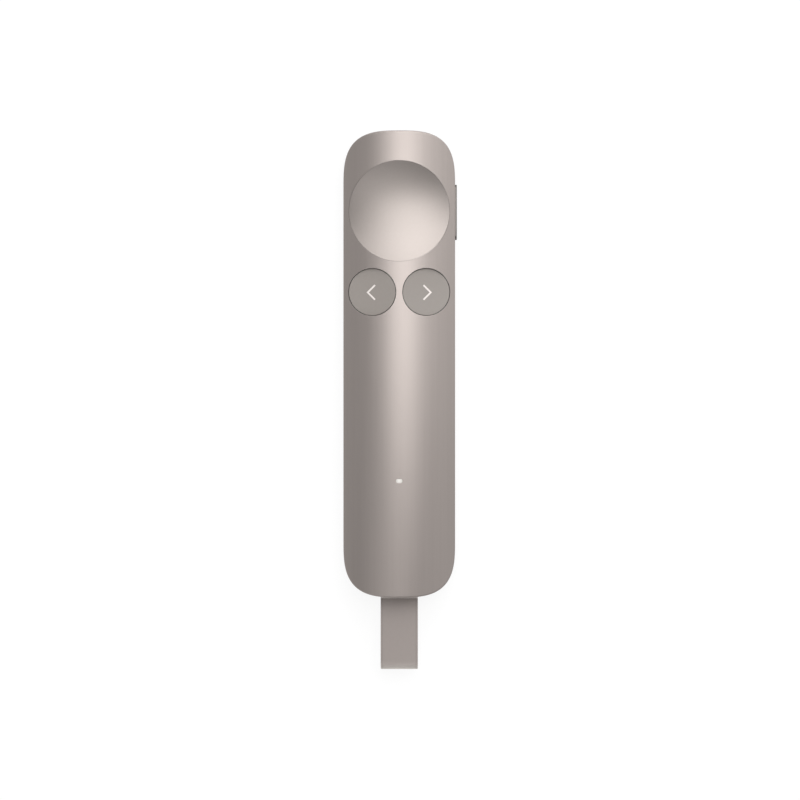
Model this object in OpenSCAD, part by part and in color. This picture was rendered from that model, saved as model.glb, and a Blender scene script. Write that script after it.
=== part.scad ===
// Hand-held presentation clicker.
// Origin: on the flat land of the back, under the middle of the body.
// +X to the right, +Y to the front end with the round pad, +Z up out of the face.

/* [Body] */
// Length of the housing, front end to rear end
body_length = 131; // [128:1:138]
// Width of the housing
body_width = 31.4; // [31.2:0.2:33]
// Height of the housing at the middle of the crown
body_height = 13.4; // [13.2:0.1:14.4]
// Power of the superellipse that rounds both ends in plan
outline_power = 3.1; // [2.9:0.1:3.6]
// Height at which the crowned face meets the upright side
crown_edge_height = 8.12; // [8:0.02:8.6]
// Height at which the belly meets the upright side
belly_side_height = 3.4; // [3:0.1:3.6]
// Width of the flat land that the clicker lies on
rest_width = 14; // [12:0.5:16]
// Length of the flat land
rest_length = 100; // [90:1:106]
// How far the belly lifts at the two ends
end_lift = 1.6; // [1.2:0.1:1.8]
// Wall of both shells
wall = 1.2; // [1.1:0.05:1.3]
// Height of the line where the two shells meet
parting_height = 4.4; // [4.3:0.05:4.5]
// Height of the lip that laps the joint
lap_height = 0.6; // [0.4:0.05:0.65]
// Open line between the shells
seam_gap = 0.1; // [0.06:0.02:0.16]

/* [Pointer pad] */
// Width of the housing left at each side of the pad's opening
pad_margin = 1.5; // [1.4:0.05:2]
// Distance from the front end to the middle of the pad
pad_setback = 22.56; // [22:0.1:23.4]
// Depth of the dish below the crown
pad_dip = 2.6; // [2:0.05:2.7]
// Thickness of the pad's dished skin
pad_skin = 1.2; // [1:0.05:1.4]
// Height of the lower edge of the pad's skirt
pad_skirt_height = 8.4; // [8.2:0.05:8.6]
// Travel of the pad
pad_travel = 0.35; // [0.2:0.05:0.4]

/* [Round keys] */
// Width of the housing left outside each round key's opening
key_margin = 1.42; // [1.4:0.02:1.8]
// Width of the bar of housing between the two round keys
key_bar = 1.76; // [1.6:0.02:2.2]
// Distance from the middle of the pad back to the round keys
key_setback = 22.74; // [22.6:0.1:24]
// How far a key's face stands above the chord of the crown across its opening
key_rise = 0.25; // [0:0.05:0.5]
// Thickness of a key's face
key_skin = 1.3; // [1:0.05:1.4]
// Height of the lower edge of a key's skirt
key_skirt_height = 8.3; // [8:0.05:8.5]
// Travel of a round key
key_travel = 0.3; // [0.2:0.05:0.35]

/* [Side key] */
// Length of the side key along the body
side_key_length = 15.6; // [13:0.1:16]
// Height of the side key's face
side_key_height = 2.4; // [2:0.1:2.5]
// How far the side key stands out of the side
side_key_proud = 0.5; // [0.4:0.05:0.7]
// How far the side key sits behind the middle of the pad
side_key_setback = 0.24; // [0:0.02:0.6]
// Travel of the side key
side_key_travel = 0.4; // [0.2:0.05:0.4]

/* [Fits] */
// Radial gap round the pad and each round key
cap_gap = 0.1; // [0.08:0.01:0.14]
// Gap round the side key in its slot
slot_gap = 0.12; // [0.1:0.01:0.16]
// Gap between what is fitted inside and the walls
inner_gap = 0.15; // [0.1:0.01:0.2]
// Gap all round the receiver in its bay
bay_gap = 0.2; // [0.15:0.01:0.25]

/* [Circuit board] */
// Height of the board's underside
board_height = 6.2; // [6.1:0.05:6.3]
// Thickness of the board
board_thickness = 1; // [0.8:0.05:1]
// Distance from the housing's side to the board's edge
board_margin = 2.3; // [2.1:0.1:2.6]
// Side of a face switch's housing
switch_size = 4; // [3.6:0.1:4.5]
// Height of a face switch's housing
switch_height = 1.6; // [1.5:0.05:1.8]
// Diameter of a switch's stem
stem_diameter = 1.8; // [1.5:0.1:2]
// How far a stem stands out of its switch
stem_proud = 0.6; // [0.5:0.05:0.7]

/* [Status light] */
// Distance from the rear end to the status light
light_setback = 32.7; // [31:0.1:34]
// Width of the light across the body
light_width = 1.6; // [1.2:0.1:2.4]
// Length of the light along the body
light_length = 1; // [0.8:0.1:1.1]

/* [Battery] */
// Length of the pouch cell
battery_length = 38; // [30:1:38]
// Width of the pouch cell
battery_width = 18; // [15:0.5:18]
// Thickness of the pouch cell
battery_thickness = 3.3; // [2.6:0.1:3.4]
// Thickness of the foam pad below the cell
battery_pad_thickness = 0.3; // [0.2:0.05:0.35]

/* [Laser] */
// Diameter of the laser barrel
laser_diameter = 5; // [4.5:0.1:5]
// Length of the laser barrel
laser_length = 9.5; // [8:0.1:10]
// Height of the laser's axis
laser_height = 7; // [6.9:0.05:7.1]
// Diameter of the front window
window_diameter = 3.6; // [3:0.1:3.7]

/* [Receiver] */
// Width of the receiver's body
receiver_width = 11.6; // [11:0.1:11.8]
// Height of the receiver's body
receiver_height = 5.6; // [5:0.1:5.6]
// Length of the receiver's body
receiver_length = 8.5; // [8:0.1:10]
// Wall of the sleeve that the receiver slides into
dock_wall = 0.8; // [0.6:0.05:0.8]
// Width of the pull tab
tab_width = 10.45; // [9:0.05:11]
// How far the pull tab reaches out of the housing
tab_reach = 20.3; // [16:0.1:24]
// Thickness of the tab's strap
tab_strap = 0.95; // [0.7:0.05:1.1]
// Thickness of the folded tab
tab_thickness = 3; // [2.6:0.1:3.4]
// How far the receiver's end plate stands out of the housing
end_plate_proud = 0.3; // [0.2:0.05:0.6]

/* [Hidden] */

$fn = 96;
// Steps round a circle whose radius is several times the body's width
wide_arc_steps = 256;
// More than any size of the object, for cuts that run through
reach = body_length;
// Straight steps in each quarter of the plan outline
outline_steps = 16;
// How far a cut runs past the face that it opens
cut_over = 1;
// How far joined shapes run into each other
join_over = 0.3;
// Gap where a fixed piece seats in another
seat_gap = 0.1;

// Plan of the body
half_width = body_width / 2;
half_length = body_length / 2;
end_centre = half_length - half_width;

// Section of the body: crown, belly and lifted ends are arcs
crown_fall = body_height - crown_edge_height;
crown_radius = (pow(half_width, 2) + pow(crown_fall, 2)) / (2 * crown_fall);
crown_centre = body_height - crown_radius;
rest_half = rest_width / 2;
belly_centre = (pow(half_width, 2) + pow(belly_side_height, 2) - pow(rest_half, 2))
    / (2 * belly_side_height);
belly_radius = norm([rest_half, belly_centre]);
rest_end = rest_length / 2;
lift_centre = (pow(half_length, 2) + pow(end_lift, 2) - pow(rest_end, 2)) / (2 * end_lift);
lift_radius = norm([rest_end, lift_centre]);

// Height of the crown at a distance x from the middle plane, depth below the surface
function crown_z(x, depth = 0) = crown_centre + sqrt(pow(crown_radius - depth, 2) - x * x);

// The shell joint
lip_inset = wall / 2;
lip_root = 1;
lap_gap = 0.08;

// Pointer pad: a saddle, hollow along the body and round across it like the crown
pad_y = half_length - pad_setback;
pad_radius = half_width - pad_margin;
pad_floor = body_height - pad_dip;
dish_radius = (pow(pad_radius, 2) + pow(pad_dip, 2)) / (2 * pad_dip);
dish_axis = pad_floor + dish_radius;
dish_fall = pad_floor - crown_z(pad_radius);
dish_cross_radius = (pow(pad_radius, 2) + pow(dish_fall, 2)) / (2 * dish_fall);
pad_rim = 1.8;
pad_post_radius = 1.5;
pad_rib = 0.8;
laser_relief_gap = 0.2;

// Catches that keep the pad and the round keys in
catch_gap = 0.1;
pad_catch_width = 8;
pad_catch_reach = 1.2;
pad_catch_thickness = 1;
key_catch_width = 4;
key_catch_reach = 0.7;
key_catch_thickness = 0.8;
catch_root = 0.8;

// Round keys: flat faces, tilted with the chord of the crown across each opening
keys_y = pad_y - key_setback;
key_radius = (half_width - key_margin - key_bar / 2) / 2;
key_offset = key_bar / 2 + key_radius;
key_inner_z = crown_z(key_offset - key_radius);
key_outer_z = crown_z(key_offset + key_radius);
key_tilt = atan((key_inner_z - key_outer_z) / (2 * key_radius));
key_face_z = (key_inner_z + key_outer_z) / 2 + key_rise;
key_wall = 1.2;
key_post_radius = 1.3;

// Circuit board and the face switches on it
board_top = board_height + board_thickness;
stem_top = board_top + switch_height + stem_proud;
stem_gap = 0.1;
stem_room = 0.45;
switch_floor = 0.25;
board_front_gap = 0.8;

// Inner frame: a tray below the board
frame_floor = 0.85;
frame_rib = 1.2;
frame_rear_setback = 5.5;
frame_front_setback = 2.2;
frame_floor_top = wall + inner_gap + frame_floor;
frame_rear = half_length - frame_rear_setback;
frame_front = half_length - frame_front_setback;

// Snaps that hold the shells together: tongues on the bottom shell, whose beads catch in the top
snap_spread = 28;
snap_length = 8;
snap_thickness = 0.7;
snap_depth = 0.3;
snap_flat = 0.2;
snap_sink = 0.5;
snap_rise = 0.7;
snap_face = half_width - wall - lap_gap;
snap_inner = snap_face - snap_thickness;
snap_root = belly_side_height - snap_sink;
snap_z = parting_height + lap_height + seam_gap + snap_rise;
snap_top = snap_z + snap_flat / 2 + snap_depth;

// Battery, behind the keys and below the board
battery_setback = 4.5;
battery_front = keys_y - key_radius - battery_setback;
battery_y = battery_front - battery_length / 2;
battery_base = frame_floor_top + battery_pad_thickness;
battery_corner = 1.5;
battery_pad_margin = 2;
connector_size = [5, 3, 1.4];
connector_setback = 1.8;

// Chips on the board
processor_size = [6, 6, 0.85];
can_wall = 0.2;
can_size = [11, 11, 1.6];
sensor_size = [3, 3, 0.9];
antenna_size = [2, 5, 1.1];
antenna_setback = 17.5;

// Coin motor below the board
motor_radius = 4;
motor_height = 2.7;
motor_offset = 4;
motor_y = keys_y + motor_offset;

// Side key and its switch below the board
side_key_y = pad_y - side_key_setback;
side_key_z = parting_height + seam_gap + slot_gap + side_key_height / 2;
side_flange = 0.9;
side_flange_thickness = 1.1;
side_flange_face = half_width - wall - catch_gap;
side_switch_height = 1.5;
side_switch_size = [3, 3.8];
side_switch_room = 1.9;
side_switch_face = side_flange_face - side_flange_thickness - side_switch_room;
side_stem_size = [1.8, 0.8];
side_stem_root = 1;
side_stem_proud = 0.7;
side_stem_z = board_height - side_switch_height / 2;
side_stem_tip = side_switch_face + side_stem_proud;
side_nub_margin = 0.2;
side_notch_depth = 0.3;
side_notch_margin = 0.6;
side_notch = side_flange_face - side_flange_thickness - side_key_travel - inner_gap;
side_notch_floor = parting_height - side_notch_depth;
side_notch_half = side_key_length / 2 + side_flange + side_notch_margin;

// Status light
light_y = light_setback - half_length;
light_gap = 0.12;
led_height = 0.6;
led_margin = 0.1;
led_gap = 0.15;
pipe_base = board_top + led_height + led_gap;
pipe_flange = 0.9;
pipe_flange_height = 0.7;
pipe_seat_gap = 0.05;

// Laser
laser_setback = 0.3;
laser_lip = 2;
laser_front = frame_front - laser_setback;
laser_rear = laser_front - laser_length;
laser_radius = laser_diameter / 2;
window_radius = window_diameter / 2;
window_recess = 0.2;
window_gap = 0.05;
window_flange_thickness = 0.6;

// Receiver, its bay and the charging socket; all lie on the board's middle plane
axis_z = board_height + board_thickness / 2;
bay_width = receiver_width + 2 * bay_gap;
bay_height = receiver_height + 2 * bay_gap;
bay_corner = 1;
end_plate_thickness = 1;
end_plate_step = 0.6;
receiver_end_gap = 0.1;
receiver_out = -half_length - end_plate_proud;
receiver_in = receiver_out + end_plate_thickness + receiver_length;
receiver_corner = bay_corner - bay_gap;
bay_end = receiver_in + receiver_end_gap;
dock_end_wall = 0.8;
end_plate_height = receiver_height - end_plate_step;

// Root of the pull tab, held in the receiver's body
tab_root = 3;
tab_root_step = 2;
tab_root_width = tab_width - tab_root_step;
tab_root_height = 2.4;

// Standard sizes of a reversible 24-pin plug and its socket
plug_size = [8.25, 2.4];
plug_wall = 0.3;
plug_inner = plug_size - plug_wall * [2, 2];
plug_length = 6.65;
socket_inner = [8.34, 2.56];
socket_outer = [8.94, 3.26];
socket_depth = 7.6;
socket_back = 0.6;
tongue_size = [6.7, 0.7];
tongue_start = 1;
tongue_gap = 0.2;
core_root = 0.7;
core_recess = 0.3;
board_rear_gap = 0.2;
board_rear = bay_end + dock_end_wall + board_rear_gap;
socket_rear = bay_end + socket_depth;

// Screws that hold the board
screw_radius = 0.6;
screw_length = 3.2;
screw_head_radius = 1.1;
screw_head_height = 0.5;
screw_side_setback = 2.7;
screw_rear_setback = 5;
screw_key_setback = 3;
screw_x = half_width - wall - screw_side_setback;
screw_rows = [socket_rear + screw_rear_setback, keys_y - key_radius - screw_key_setback];
screw_places = [for (x = [-screw_x, screw_x], y = screw_rows) [x, y]];

// Posts under the crown that keep the board down
post_radius = 0.9;
post_inset = 1;
post_x = screw_x - post_inset;
post_spread = 8;
post_rows = [battery_y - post_spread, battery_y + post_spread];
snap_rows = [battery_y - snap_spread, battery_y, battery_y + snap_spread];

// One quarter of the superellipse that rounds an end, with semi-axes of size a
function quarter(a) = [for (i = [0:outline_steps])
    let (t = 90 * i / outline_steps)
    [a * pow(cos(t), 2 / outline_power), a * pow(sin(t), 2 / outline_power)]];

// Both rounded ends and the straight sides between them
function outline(a) = let (q = quarter(a)) concat(
    [for (i = [0:outline_steps]) [q[i].x, end_centre + q[i].y]],
    [for (i = [outline_steps - 1:-1:0]) [-q[i].x, end_centre + q[i].y]],
    [for (i = [0:outline_steps]) [-q[i].x, -end_centre - q[i].y]],
    [for (i = [outline_steps - 1:-1:0]) [q[i].x, -end_centre - q[i].y]]);

module plan(inset) {
    polygon(outline(half_width - inset));
}

// Everything between two heights
module slab(low, high) {
    translate([-reach, -reach, low])
        cube([2 * reach, 2 * reach, high - low]);
}

// The body's outer form, moved in by inset on every side
module body_form(inset) {
    intersection() {
        translate([0, 0, inset])
            linear_extrude(body_height) plan(inset);
        translate([0, 0, crown_centre])
            rotate([90, 0, 0])
                cylinder(r = crown_radius - inset, h = 2 * reach, center = true);
        translate([0, 0, belly_centre])
            rotate([90, 0, 0])
                cylinder(r = belly_radius - inset, h = 2 * reach, center = true, $fn = wide_arc_steps);
        translate([0, 0, lift_centre])
            rotate([0, 90, 0])
                cylinder(r = lift_radius - inset, h = reach, center = true, $fn = wide_arc_steps);
    }
}

// Flat shape with round ends, its length along X
module stadium(size) {
    square([size.x - size.y, size.y], center = true);
    for (side = [-1, 1])
        translate([side * (size.x - size.y) / 2, 0])
            circle(d = size.y);
}

module rounded_rectangle(size, corner) {
    square([size.x - 2 * corner, size.y], center = true);
    square([size.x, size.y - 2 * corner], center = true);
    for (x = [-1, 1], y = [-1, 1])
        translate([x * (size.x / 2 - corner), y * (size.y / 2 - corner)])
            circle(corner);
}

// Runs a flat X-Z shape along the body from one y to another
module along(from, to) {
    translate([0, to, 0])
        rotate([90, 0, 0])
            linear_extrude(to - from) children();
}

// Runs a flat Y-Z shape across the body from one x to another
module across(from, to) {
    translate([from, 0, 0])
        rotate([90, 0, 90])
            linear_extrude(to - from) children();
}

// ---- Housing ----

module pad_opening(radius) {
    translate([0, pad_y, parting_height])
        cylinder(r = radius, h = body_height);
}

module key_opening(radius) {
    translate([key_offset, keys_y, parting_height])
        cylinder(r = radius, h = body_height);
}

module side_slot(gap) {
    across(half_width - 2 * wall, half_width + wall)
        translate([side_key_y, side_key_z])
            stadium([side_key_length + 2 * gap, side_key_height + 2 * gap]);
}

module bay_mouth() {
    along(-half_length - cut_over, -half_length + 2 * wall)
        translate([0, axis_z])
            rounded_rectangle([bay_width, bay_height], bay_corner);
}

module light_opening(gap) {
    translate([0, light_y, board_top])
        linear_extrude(body_height)
            stadium([light_width + 2 * gap, light_length + 2 * gap]);
}

module hold_down_posts() {
    intersection() {
        for (x = [-post_x, post_x], y = post_rows)
            translate([x, y, board_top + catch_gap])
                cylinder(r = post_radius, h = body_height);
        body_form(wall / 2);
    }
}

// The same at every snap, along both sides
module at_snaps() {
    for (side = [0, 1], y = snap_rows)
        mirror([side, 0, 0])
            translate([0, y, 0])
                children();
}

// X-Z shape of a snap's bead; gap widens it for the groove that it catches in
module snap_bead(gap) {
    tip = snap_flat / 2 + gap;
    base = tip + snap_depth;
    polygon([
        [snap_face - join_over, snap_z - base],
        [snap_face, snap_z - base],
        [snap_face + snap_depth + gap, snap_z - tip],
        [snap_face + snap_depth + gap, snap_z + tip],
        [snap_face, snap_z + base],
        [snap_face - join_over, snap_z + base]]);
}

module snap_tongues() {
    at_snaps()
        along(-snap_length / 2, snap_length / 2) {
            translate([snap_inner, snap_root])
                square([snap_thickness, snap_top - snap_root]);
            translate([snap_inner, snap_root])
                square([snap_thickness + join_over, parting_height + lap_height - snap_root]);
            snap_bead(0);
        }
}

module top_shell() {
    color("#a39b96") {
        difference() {
            intersection() {
                body_form(0);
                slab(parting_height + seam_gap / 2, body_height + cut_over);
            }
            body_form(wall);
            intersection() {
                body_form(lip_inset);
                slab(0, parting_height + lap_height + seam_gap);
            }
            pad_opening(pad_radius);
            key_opening(key_radius);
            mirror([1, 0, 0]) key_opening(key_radius);
            side_slot(slot_gap);
            light_opening(light_gap);
            bay_mouth();
            along(half_length - 2 * wall, half_length + cut_over)
                translate([0, laser_height])
                    circle(window_radius + window_gap);
            at_snaps()
                along(-snap_length / 2 - lap_gap, snap_length / 2 + lap_gap)
                    snap_bead(lap_gap);
        }
        hold_down_posts();
    }
}

module bottom_shell() {
    color("#8f8883") {
        difference() {
            union() {
                intersection() {
                    body_form(0);
                    slab(-cut_over, parting_height - seam_gap / 2);
                }
                intersection() {
                    body_form(lip_inset + lap_gap);
                    slab(parting_height - lip_root, parting_height + lap_height);
                }
            }
            body_form(wall);
            bay_mouth();
            side_slot(slot_gap);
        }
        snap_tongues();
    }
}

// ---- Pointer pad ----

// Everything above the saddle surface, moved down by depth
module above_saddle(depth) {
    span = pad_radius + cut_over;
    rim = dish_radius + dish_cross_radius;
    outer = dish_radius + dish_fall + pad_skin + 2 * cut_over;
    translate([0, pad_y, dish_axis])
        rotate([0, -90, 0])
            rotate_extrude()
                difference() {
                    translate([0, -span])
                        square([outer, 2 * span]);
                    translate([rim, 0])
                        circle(dish_cross_radius - depth);
                }
}

module pad_catches() {
    top = crown_z(pad_catch_width / 2, wall) - catch_gap;
    for (side = [-1, 1])
        translate([0, pad_y + side * (pad_radius - cap_gap), top - pad_catch_thickness / 2])
            cube([pad_catch_width, 2 * pad_catch_reach, pad_catch_thickness], center = true);
}

// Room in the front of the pad's skirt for the laser barrel, with the pad up or down
module laser_relief() {
    along(laser_rear - cut_over, laser_front)
        translate([0, laser_height])
            circle(laser_radius + pad_travel + laser_relief_gap);
}

module pointer_pad() {
    hollow_radius = pad_radius - pad_rim;
    rib_half = hollow_radius + join_over;
    color("#b0a8a3") {
        difference() {
            translate([0, pad_y, pad_skirt_height])
                cylinder(r = pad_radius - cap_gap, h = body_height);
            above_saddle(0);
            difference() {
                translate([0, pad_y, pad_skirt_height - cut_over])
                    cylinder(r = hollow_radius, h = body_height);
                above_saddle(pad_skin);
            }
            laser_relief();
        }
        difference() {
            union() {
                translate([0, pad_y, stem_top])
                    cylinder(r = pad_post_radius, h = pad_dip + pad_skin);
                translate([-pad_rib / 2, pad_y - rib_half, stem_top + pad_rib])
                    cube([pad_rib, 2 * rib_half, body_height]);
            }
            above_saddle(pad_skin / 2);
        }
        pad_catches();
    }
}

// ---- Round keys ----

// Everything below the key's face plane, moved down by depth
module below_key_face(depth) {
    translate([key_offset, keys_y, key_face_z])
        rotate([0, key_tilt, 0])
            translate([-reach / 2, -reach / 2, -reach - depth])
                cube([reach, reach, reach]);
}

module key_catches() {
    top = crown_z(key_offset + key_catch_width / 2, wall) - catch_gap;
    for (side = [-1, 1])
        translate([key_offset, keys_y + side * (key_radius - cap_gap), top - key_catch_thickness / 2])
            cube([key_catch_width, 2 * key_catch_reach, key_catch_thickness], center = true);
}

module round_key() {
    difference() {
        intersection() {
            translate([key_offset, keys_y, key_skirt_height])
                cylinder(r = key_radius - cap_gap, h = body_height);
            below_key_face(0);
        }
        intersection() {
            translate([key_offset, keys_y, key_skirt_height - cut_over])
                cylinder(r = key_radius - cap_gap - key_wall, h = body_height);
            below_key_face(key_skin);
        }
    }
    intersection() {
        translate([key_offset, keys_y, stem_top])
            cylinder(r = key_post_radius, h = body_height);
        below_key_face(key_skin / 2);
    }
    key_catches();
}

module next_key() {
    color("#99918c") round_key();
}

module previous_key() {
    color("#99918c") mirror([1, 0, 0]) round_key();
}

// ---- Side key ----

module side_key() {
    flange_length = side_key_length + 2 * side_flange;
    color("#8c8580") {
        across(side_flange_face - side_flange_thickness, half_width + side_key_proud)
            translate([side_key_y, side_key_z])
                stadium([side_key_length, side_key_height]);
        across(side_flange_face - side_flange_thickness, side_flange_face)
            translate([side_key_y, side_key_z])
                square([flange_length, side_key_height], center = true);
        across(side_stem_tip, side_flange_face - side_flange_thickness / 2)
            translate([side_key_y, side_stem_z])
                square(side_stem_size + [2 * side_nub_margin, 0], center = true);
    }
}

// ---- Status light ----

module status_led() {
    color("#f4f1e4")
        translate([0, light_y, board_top + led_height / 2])
            cube([light_width, light_length - 2 * led_margin, led_height], center = true);
}

module status_light_pipe() {
    ceiling = crown_z(light_width / 2 + pipe_flange, wall) - pipe_seat_gap;
    color("#f7f7f2") {
        intersection() {
            translate([0, light_y, pipe_base])
                linear_extrude(body_height) stadium([light_width, light_length]);
            body_form(0);
        }
        translate([0, light_y, ceiling - pipe_flange_height])
            linear_extrude(pipe_flange_height)
                stadium([light_width + 2 * pipe_flange, light_length + 2 * pipe_flange]);
    }
}

// ---- Frame and board ----

module laser_trough() {
    along(laser_rear - inner_gap, half_length)
        translate([0, laser_height])
            circle(laser_radius + seat_gap);
}

module dock_block(grow) {
    size = [bay_width + 2 * (dock_wall + grow), bay_height + 2 * (dock_wall + grow)];
    along(-half_length, bay_end + dock_end_wall + grow)
        translate([0, axis_z])
            rounded_rectangle(size, bay_corner + dock_wall + grow);
}

// Upright pocket in the frame's tray, from one y to another
module pocket(width, from, to, low) {
    translate([-width / 2, from, low])
        cube([width, to - from, body_height]);
}

module inner_frame() {
    pocket_width = battery_width + 2 * inner_gap;
    front_pocket = laser_rear - laser_lip;
    color("#3c3d40")
        difference() {
            intersection() {
                body_form(wall + inner_gap);
                slab(0, board_height);
                translate([-half_width, -frame_rear, 0])
                    cube([body_width, frame_rear + frame_front, body_height]);
            }
            pocket(pocket_width, battery_y - battery_length / 2 - inner_gap,
                battery_front + inner_gap, frame_floor_top);
            pocket(pocket_width, battery_front + inner_gap + frame_rib, front_pocket, frame_floor_top);
            pocket(pocket_width, bay_end, battery_y - battery_length / 2 - inner_gap - frame_rib,
                frame_floor_top);
            dock_block(inner_gap);
            laser_trough();
            translate([side_notch, side_key_y - side_notch_half, side_notch_floor])
                cube([reach, 2 * side_notch_half, body_height]);
            translate([0, side_key_y - side_switch_size.y / 2 - inner_gap,
                board_height - side_switch_height - inner_gap])
                cube([half_width, side_switch_size.y + 2 * inner_gap, body_height]);
            at_snaps()
                translate([snap_inner - inner_gap, -snap_length / 2 - inner_gap, 0])
                    cube([reach, snap_length + 2 * inner_gap, body_height]);
            for (place = screw_places)
                translate([place.x, place.y, board_top - screw_length])
                    cylinder(r = screw_radius, h = body_height);
        }
}

module main_board() {
    notch = socket_outer.x / 2 + inner_gap;
    color("#2f6b46")
        difference() {
            translate([0, 0, board_height])
                linear_extrude(board_thickness)
                    intersection() {
                        plan(board_margin);
                        translate([-half_width, board_rear])
                            square([body_width, laser_rear - board_front_gap - board_rear]);
                    }
            translate([-notch, board_rear - cut_over, 0])
                cube([2 * notch, socket_rear + inner_gap - board_rear + cut_over, body_height]);
            translate([side_notch, side_key_y - side_notch_half, 0])
                cube([half_width, 2 * side_notch_half, body_height]);
            for (place = screw_places)
                translate([place.x, place.y, 0])
                    cylinder(r = screw_radius, h = body_height);
        }
}

module board_screws() {
    color("#c9c9c4")
        for (place = screw_places)
            translate([place.x, place.y, board_top]) {
                translate([0, 0, -screw_length])
                    cylinder(r = screw_radius, h = screw_length + screw_head_height / 2);
                cylinder(r = screw_head_radius, h = screw_head_height);
            }
}

// A flat chip that lies on the board
module chip(x, y, size) {
    translate([x - size.x / 2, y - size.y / 2, board_top])
        cube(size);
}

module processor() {
    color("#1d1d20") chip(0, battery_y, processor_size);
}

module shield_can() {
    inner = can_size - [2 * can_wall, 2 * can_wall, can_wall];
    color("#bcbec2")
        difference() {
            chip(0, battery_y, can_size);
            translate([0, 0, -cut_over])
                chip(0, battery_y, inner + [0, 0, cut_over]);
        }
}

module motion_sensor() {
    color("#26262a") chip(0, battery_y + can_size.y, sensor_size);
}

module antenna() {
    color("#d8cfc0") chip(-post_x, battery_y - antenna_setback, antenna_size);
}

module battery_connector() {
    place = [-connector_size.x / 2, battery_front + connector_setback, board_height - connector_size.z];
    color("#e6e1d4")
        translate(place) cube(connector_size);
}

// ---- Switches ----

module face_switch(x, y) {
    color("#2a2b2e")
        difference() {
            translate([x - switch_size / 2, y - switch_size / 2, board_top])
                cube([switch_size, switch_size, switch_height]);
            translate([x, y, board_top + switch_floor])
                cylinder(r = stem_diameter / 2 + stem_gap, h = switch_height);
        }
}

module face_stem(x, y) {
    base = board_top + switch_floor + stem_room;
    color("#d9d4c8")
        translate([x, y, base])
            cylinder(d = stem_diameter, h = stem_top - base);
}

module pointer_switch() {
    face_switch(0, pad_y);
}

module next_switch() {
    face_switch(key_offset, keys_y);
}

module previous_switch() {
    face_switch(-key_offset, keys_y);
}

module pointer_stem() {
    face_stem(0, pad_y);
}

module next_stem() {
    face_stem(key_offset, keys_y);
}

module previous_stem() {
    face_stem(-key_offset, keys_y);
}

module side_switch() {
    bore_depth = side_stem_root + stem_room;
    color("#2a2b2e")
        difference() {
            across(side_switch_face - side_switch_size.x, side_switch_face)
                translate([side_key_y, side_stem_z])
                    square([side_switch_size.y, side_switch_height], center = true);
            across(side_switch_face - bore_depth, side_switch_face + cut_over)
                translate([side_key_y, side_stem_z])
                    square([side_stem_size.x + 2 * stem_gap, side_stem_size.y + 2 * stem_gap],
                        center = true);
        }
}

module side_stem() {
    color("#d9d4c8")
        across(side_switch_face - side_stem_root, side_stem_tip)
            translate([side_key_y, side_stem_z])
                square(side_stem_size, center = true);
}

// ---- Battery and motor ----

module battery() {
    color("#b8babd")
        translate([0, battery_y, battery_base])
            linear_extrude(battery_thickness)
                rounded_rectangle([battery_width, battery_length], battery_corner);
}

module battery_pad() {
    size = [battery_width, battery_length] - battery_pad_margin * [2, 2];
    color("#404246")
        translate([0, battery_y, frame_floor_top])
            linear_extrude(battery_pad_thickness)
                square(size, center = true);
}

module haptic_motor() {
    color("#c4c6c8")
        translate([0, motor_y, frame_floor_top])
            cylinder(r = motor_radius, h = motor_height);
}

// ---- Laser ----

module laser_module() {
    bezel = 0.5;
    lens_radius = 1.4;
    color("#b08d4c")
        difference() {
            union() {
                along(laser_rear, laser_front - bezel)
                    translate([0, laser_height]) circle(laser_radius);
                along(laser_front - bezel, laser_front)
                    translate([0, laser_height]) circle(laser_radius - bezel);
            }
            along(laser_front - 2 * bezel, laser_front + cut_over)
                translate([0, laser_height]) circle(lens_radius);
        }
}

module laser_window() {
    flange_face = half_length - wall - window_gap;
    color("#3a2326") {
        along(flange_face - window_flange_thickness, half_length - window_recess)
            translate([0, laser_height]) circle(window_radius);
        along(flange_face - window_flange_thickness, flange_face)
            translate([0, laser_height]) circle(laser_radius);
    }
}

// ---- Receiver bay and charging socket ----

module receiver_dock() {
    color("#4a4b4e")
        difference() {
            intersection() {
                dock_block(0);
                body_form(wall + seat_gap);
            }
            along(-half_length - cut_over, bay_end)
                translate([0, axis_z])
                    rounded_rectangle([bay_width, bay_height], bay_corner);
            along(-half_length - cut_over, bay_end + 2 * dock_end_wall)
                translate([0, axis_z])
                    stadium(socket_outer + seat_gap * [2, 2]);
        }
}

module charge_port_shell() {
    color("#c2c4c6")
        difference() {
            along(bay_end, socket_rear)
                translate([0, axis_z]) stadium(socket_outer);
            along(bay_end - cut_over, socket_rear + cut_over)
                translate([0, axis_z]) stadium(socket_inner);
        }
}

module charge_port_tongue() {
    color("#222225") {
        along(socket_rear - socket_back, socket_rear)
            translate([0, axis_z]) stadium(socket_inner);
        along(bay_end + tongue_start, socket_rear - socket_back / 2)
            translate([0, axis_z]) square(tongue_size, center = true);
    }
}

// ---- Receiver ----

module receiver_body() {
    color("#98908b")
        difference() {
            union() {
                along(receiver_out + end_plate_thickness, receiver_in)
                    translate([0, axis_z])
                        rounded_rectangle([receiver_width, receiver_height], receiver_corner);
                along(receiver_out, receiver_out + end_plate_thickness)
                    translate([0, axis_z])
                        rounded_rectangle([tab_width, end_plate_height], receiver_corner);
            }
            along(receiver_out - cut_over, receiver_out + tab_root)
                translate([0, axis_z])
                    square([tab_root_width, tab_root_height], center = true);
        }
}

module receiver_plug_shell() {
    color("#c9cacc")
        difference() {
            along(receiver_in, receiver_in + plug_length)
                translate([0, axis_z]) stadium(plug_size);
            along(receiver_in - cut_over, receiver_in + plug_length + cut_over)
                translate([0, axis_z]) stadium(plug_inner);
        }
}

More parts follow.
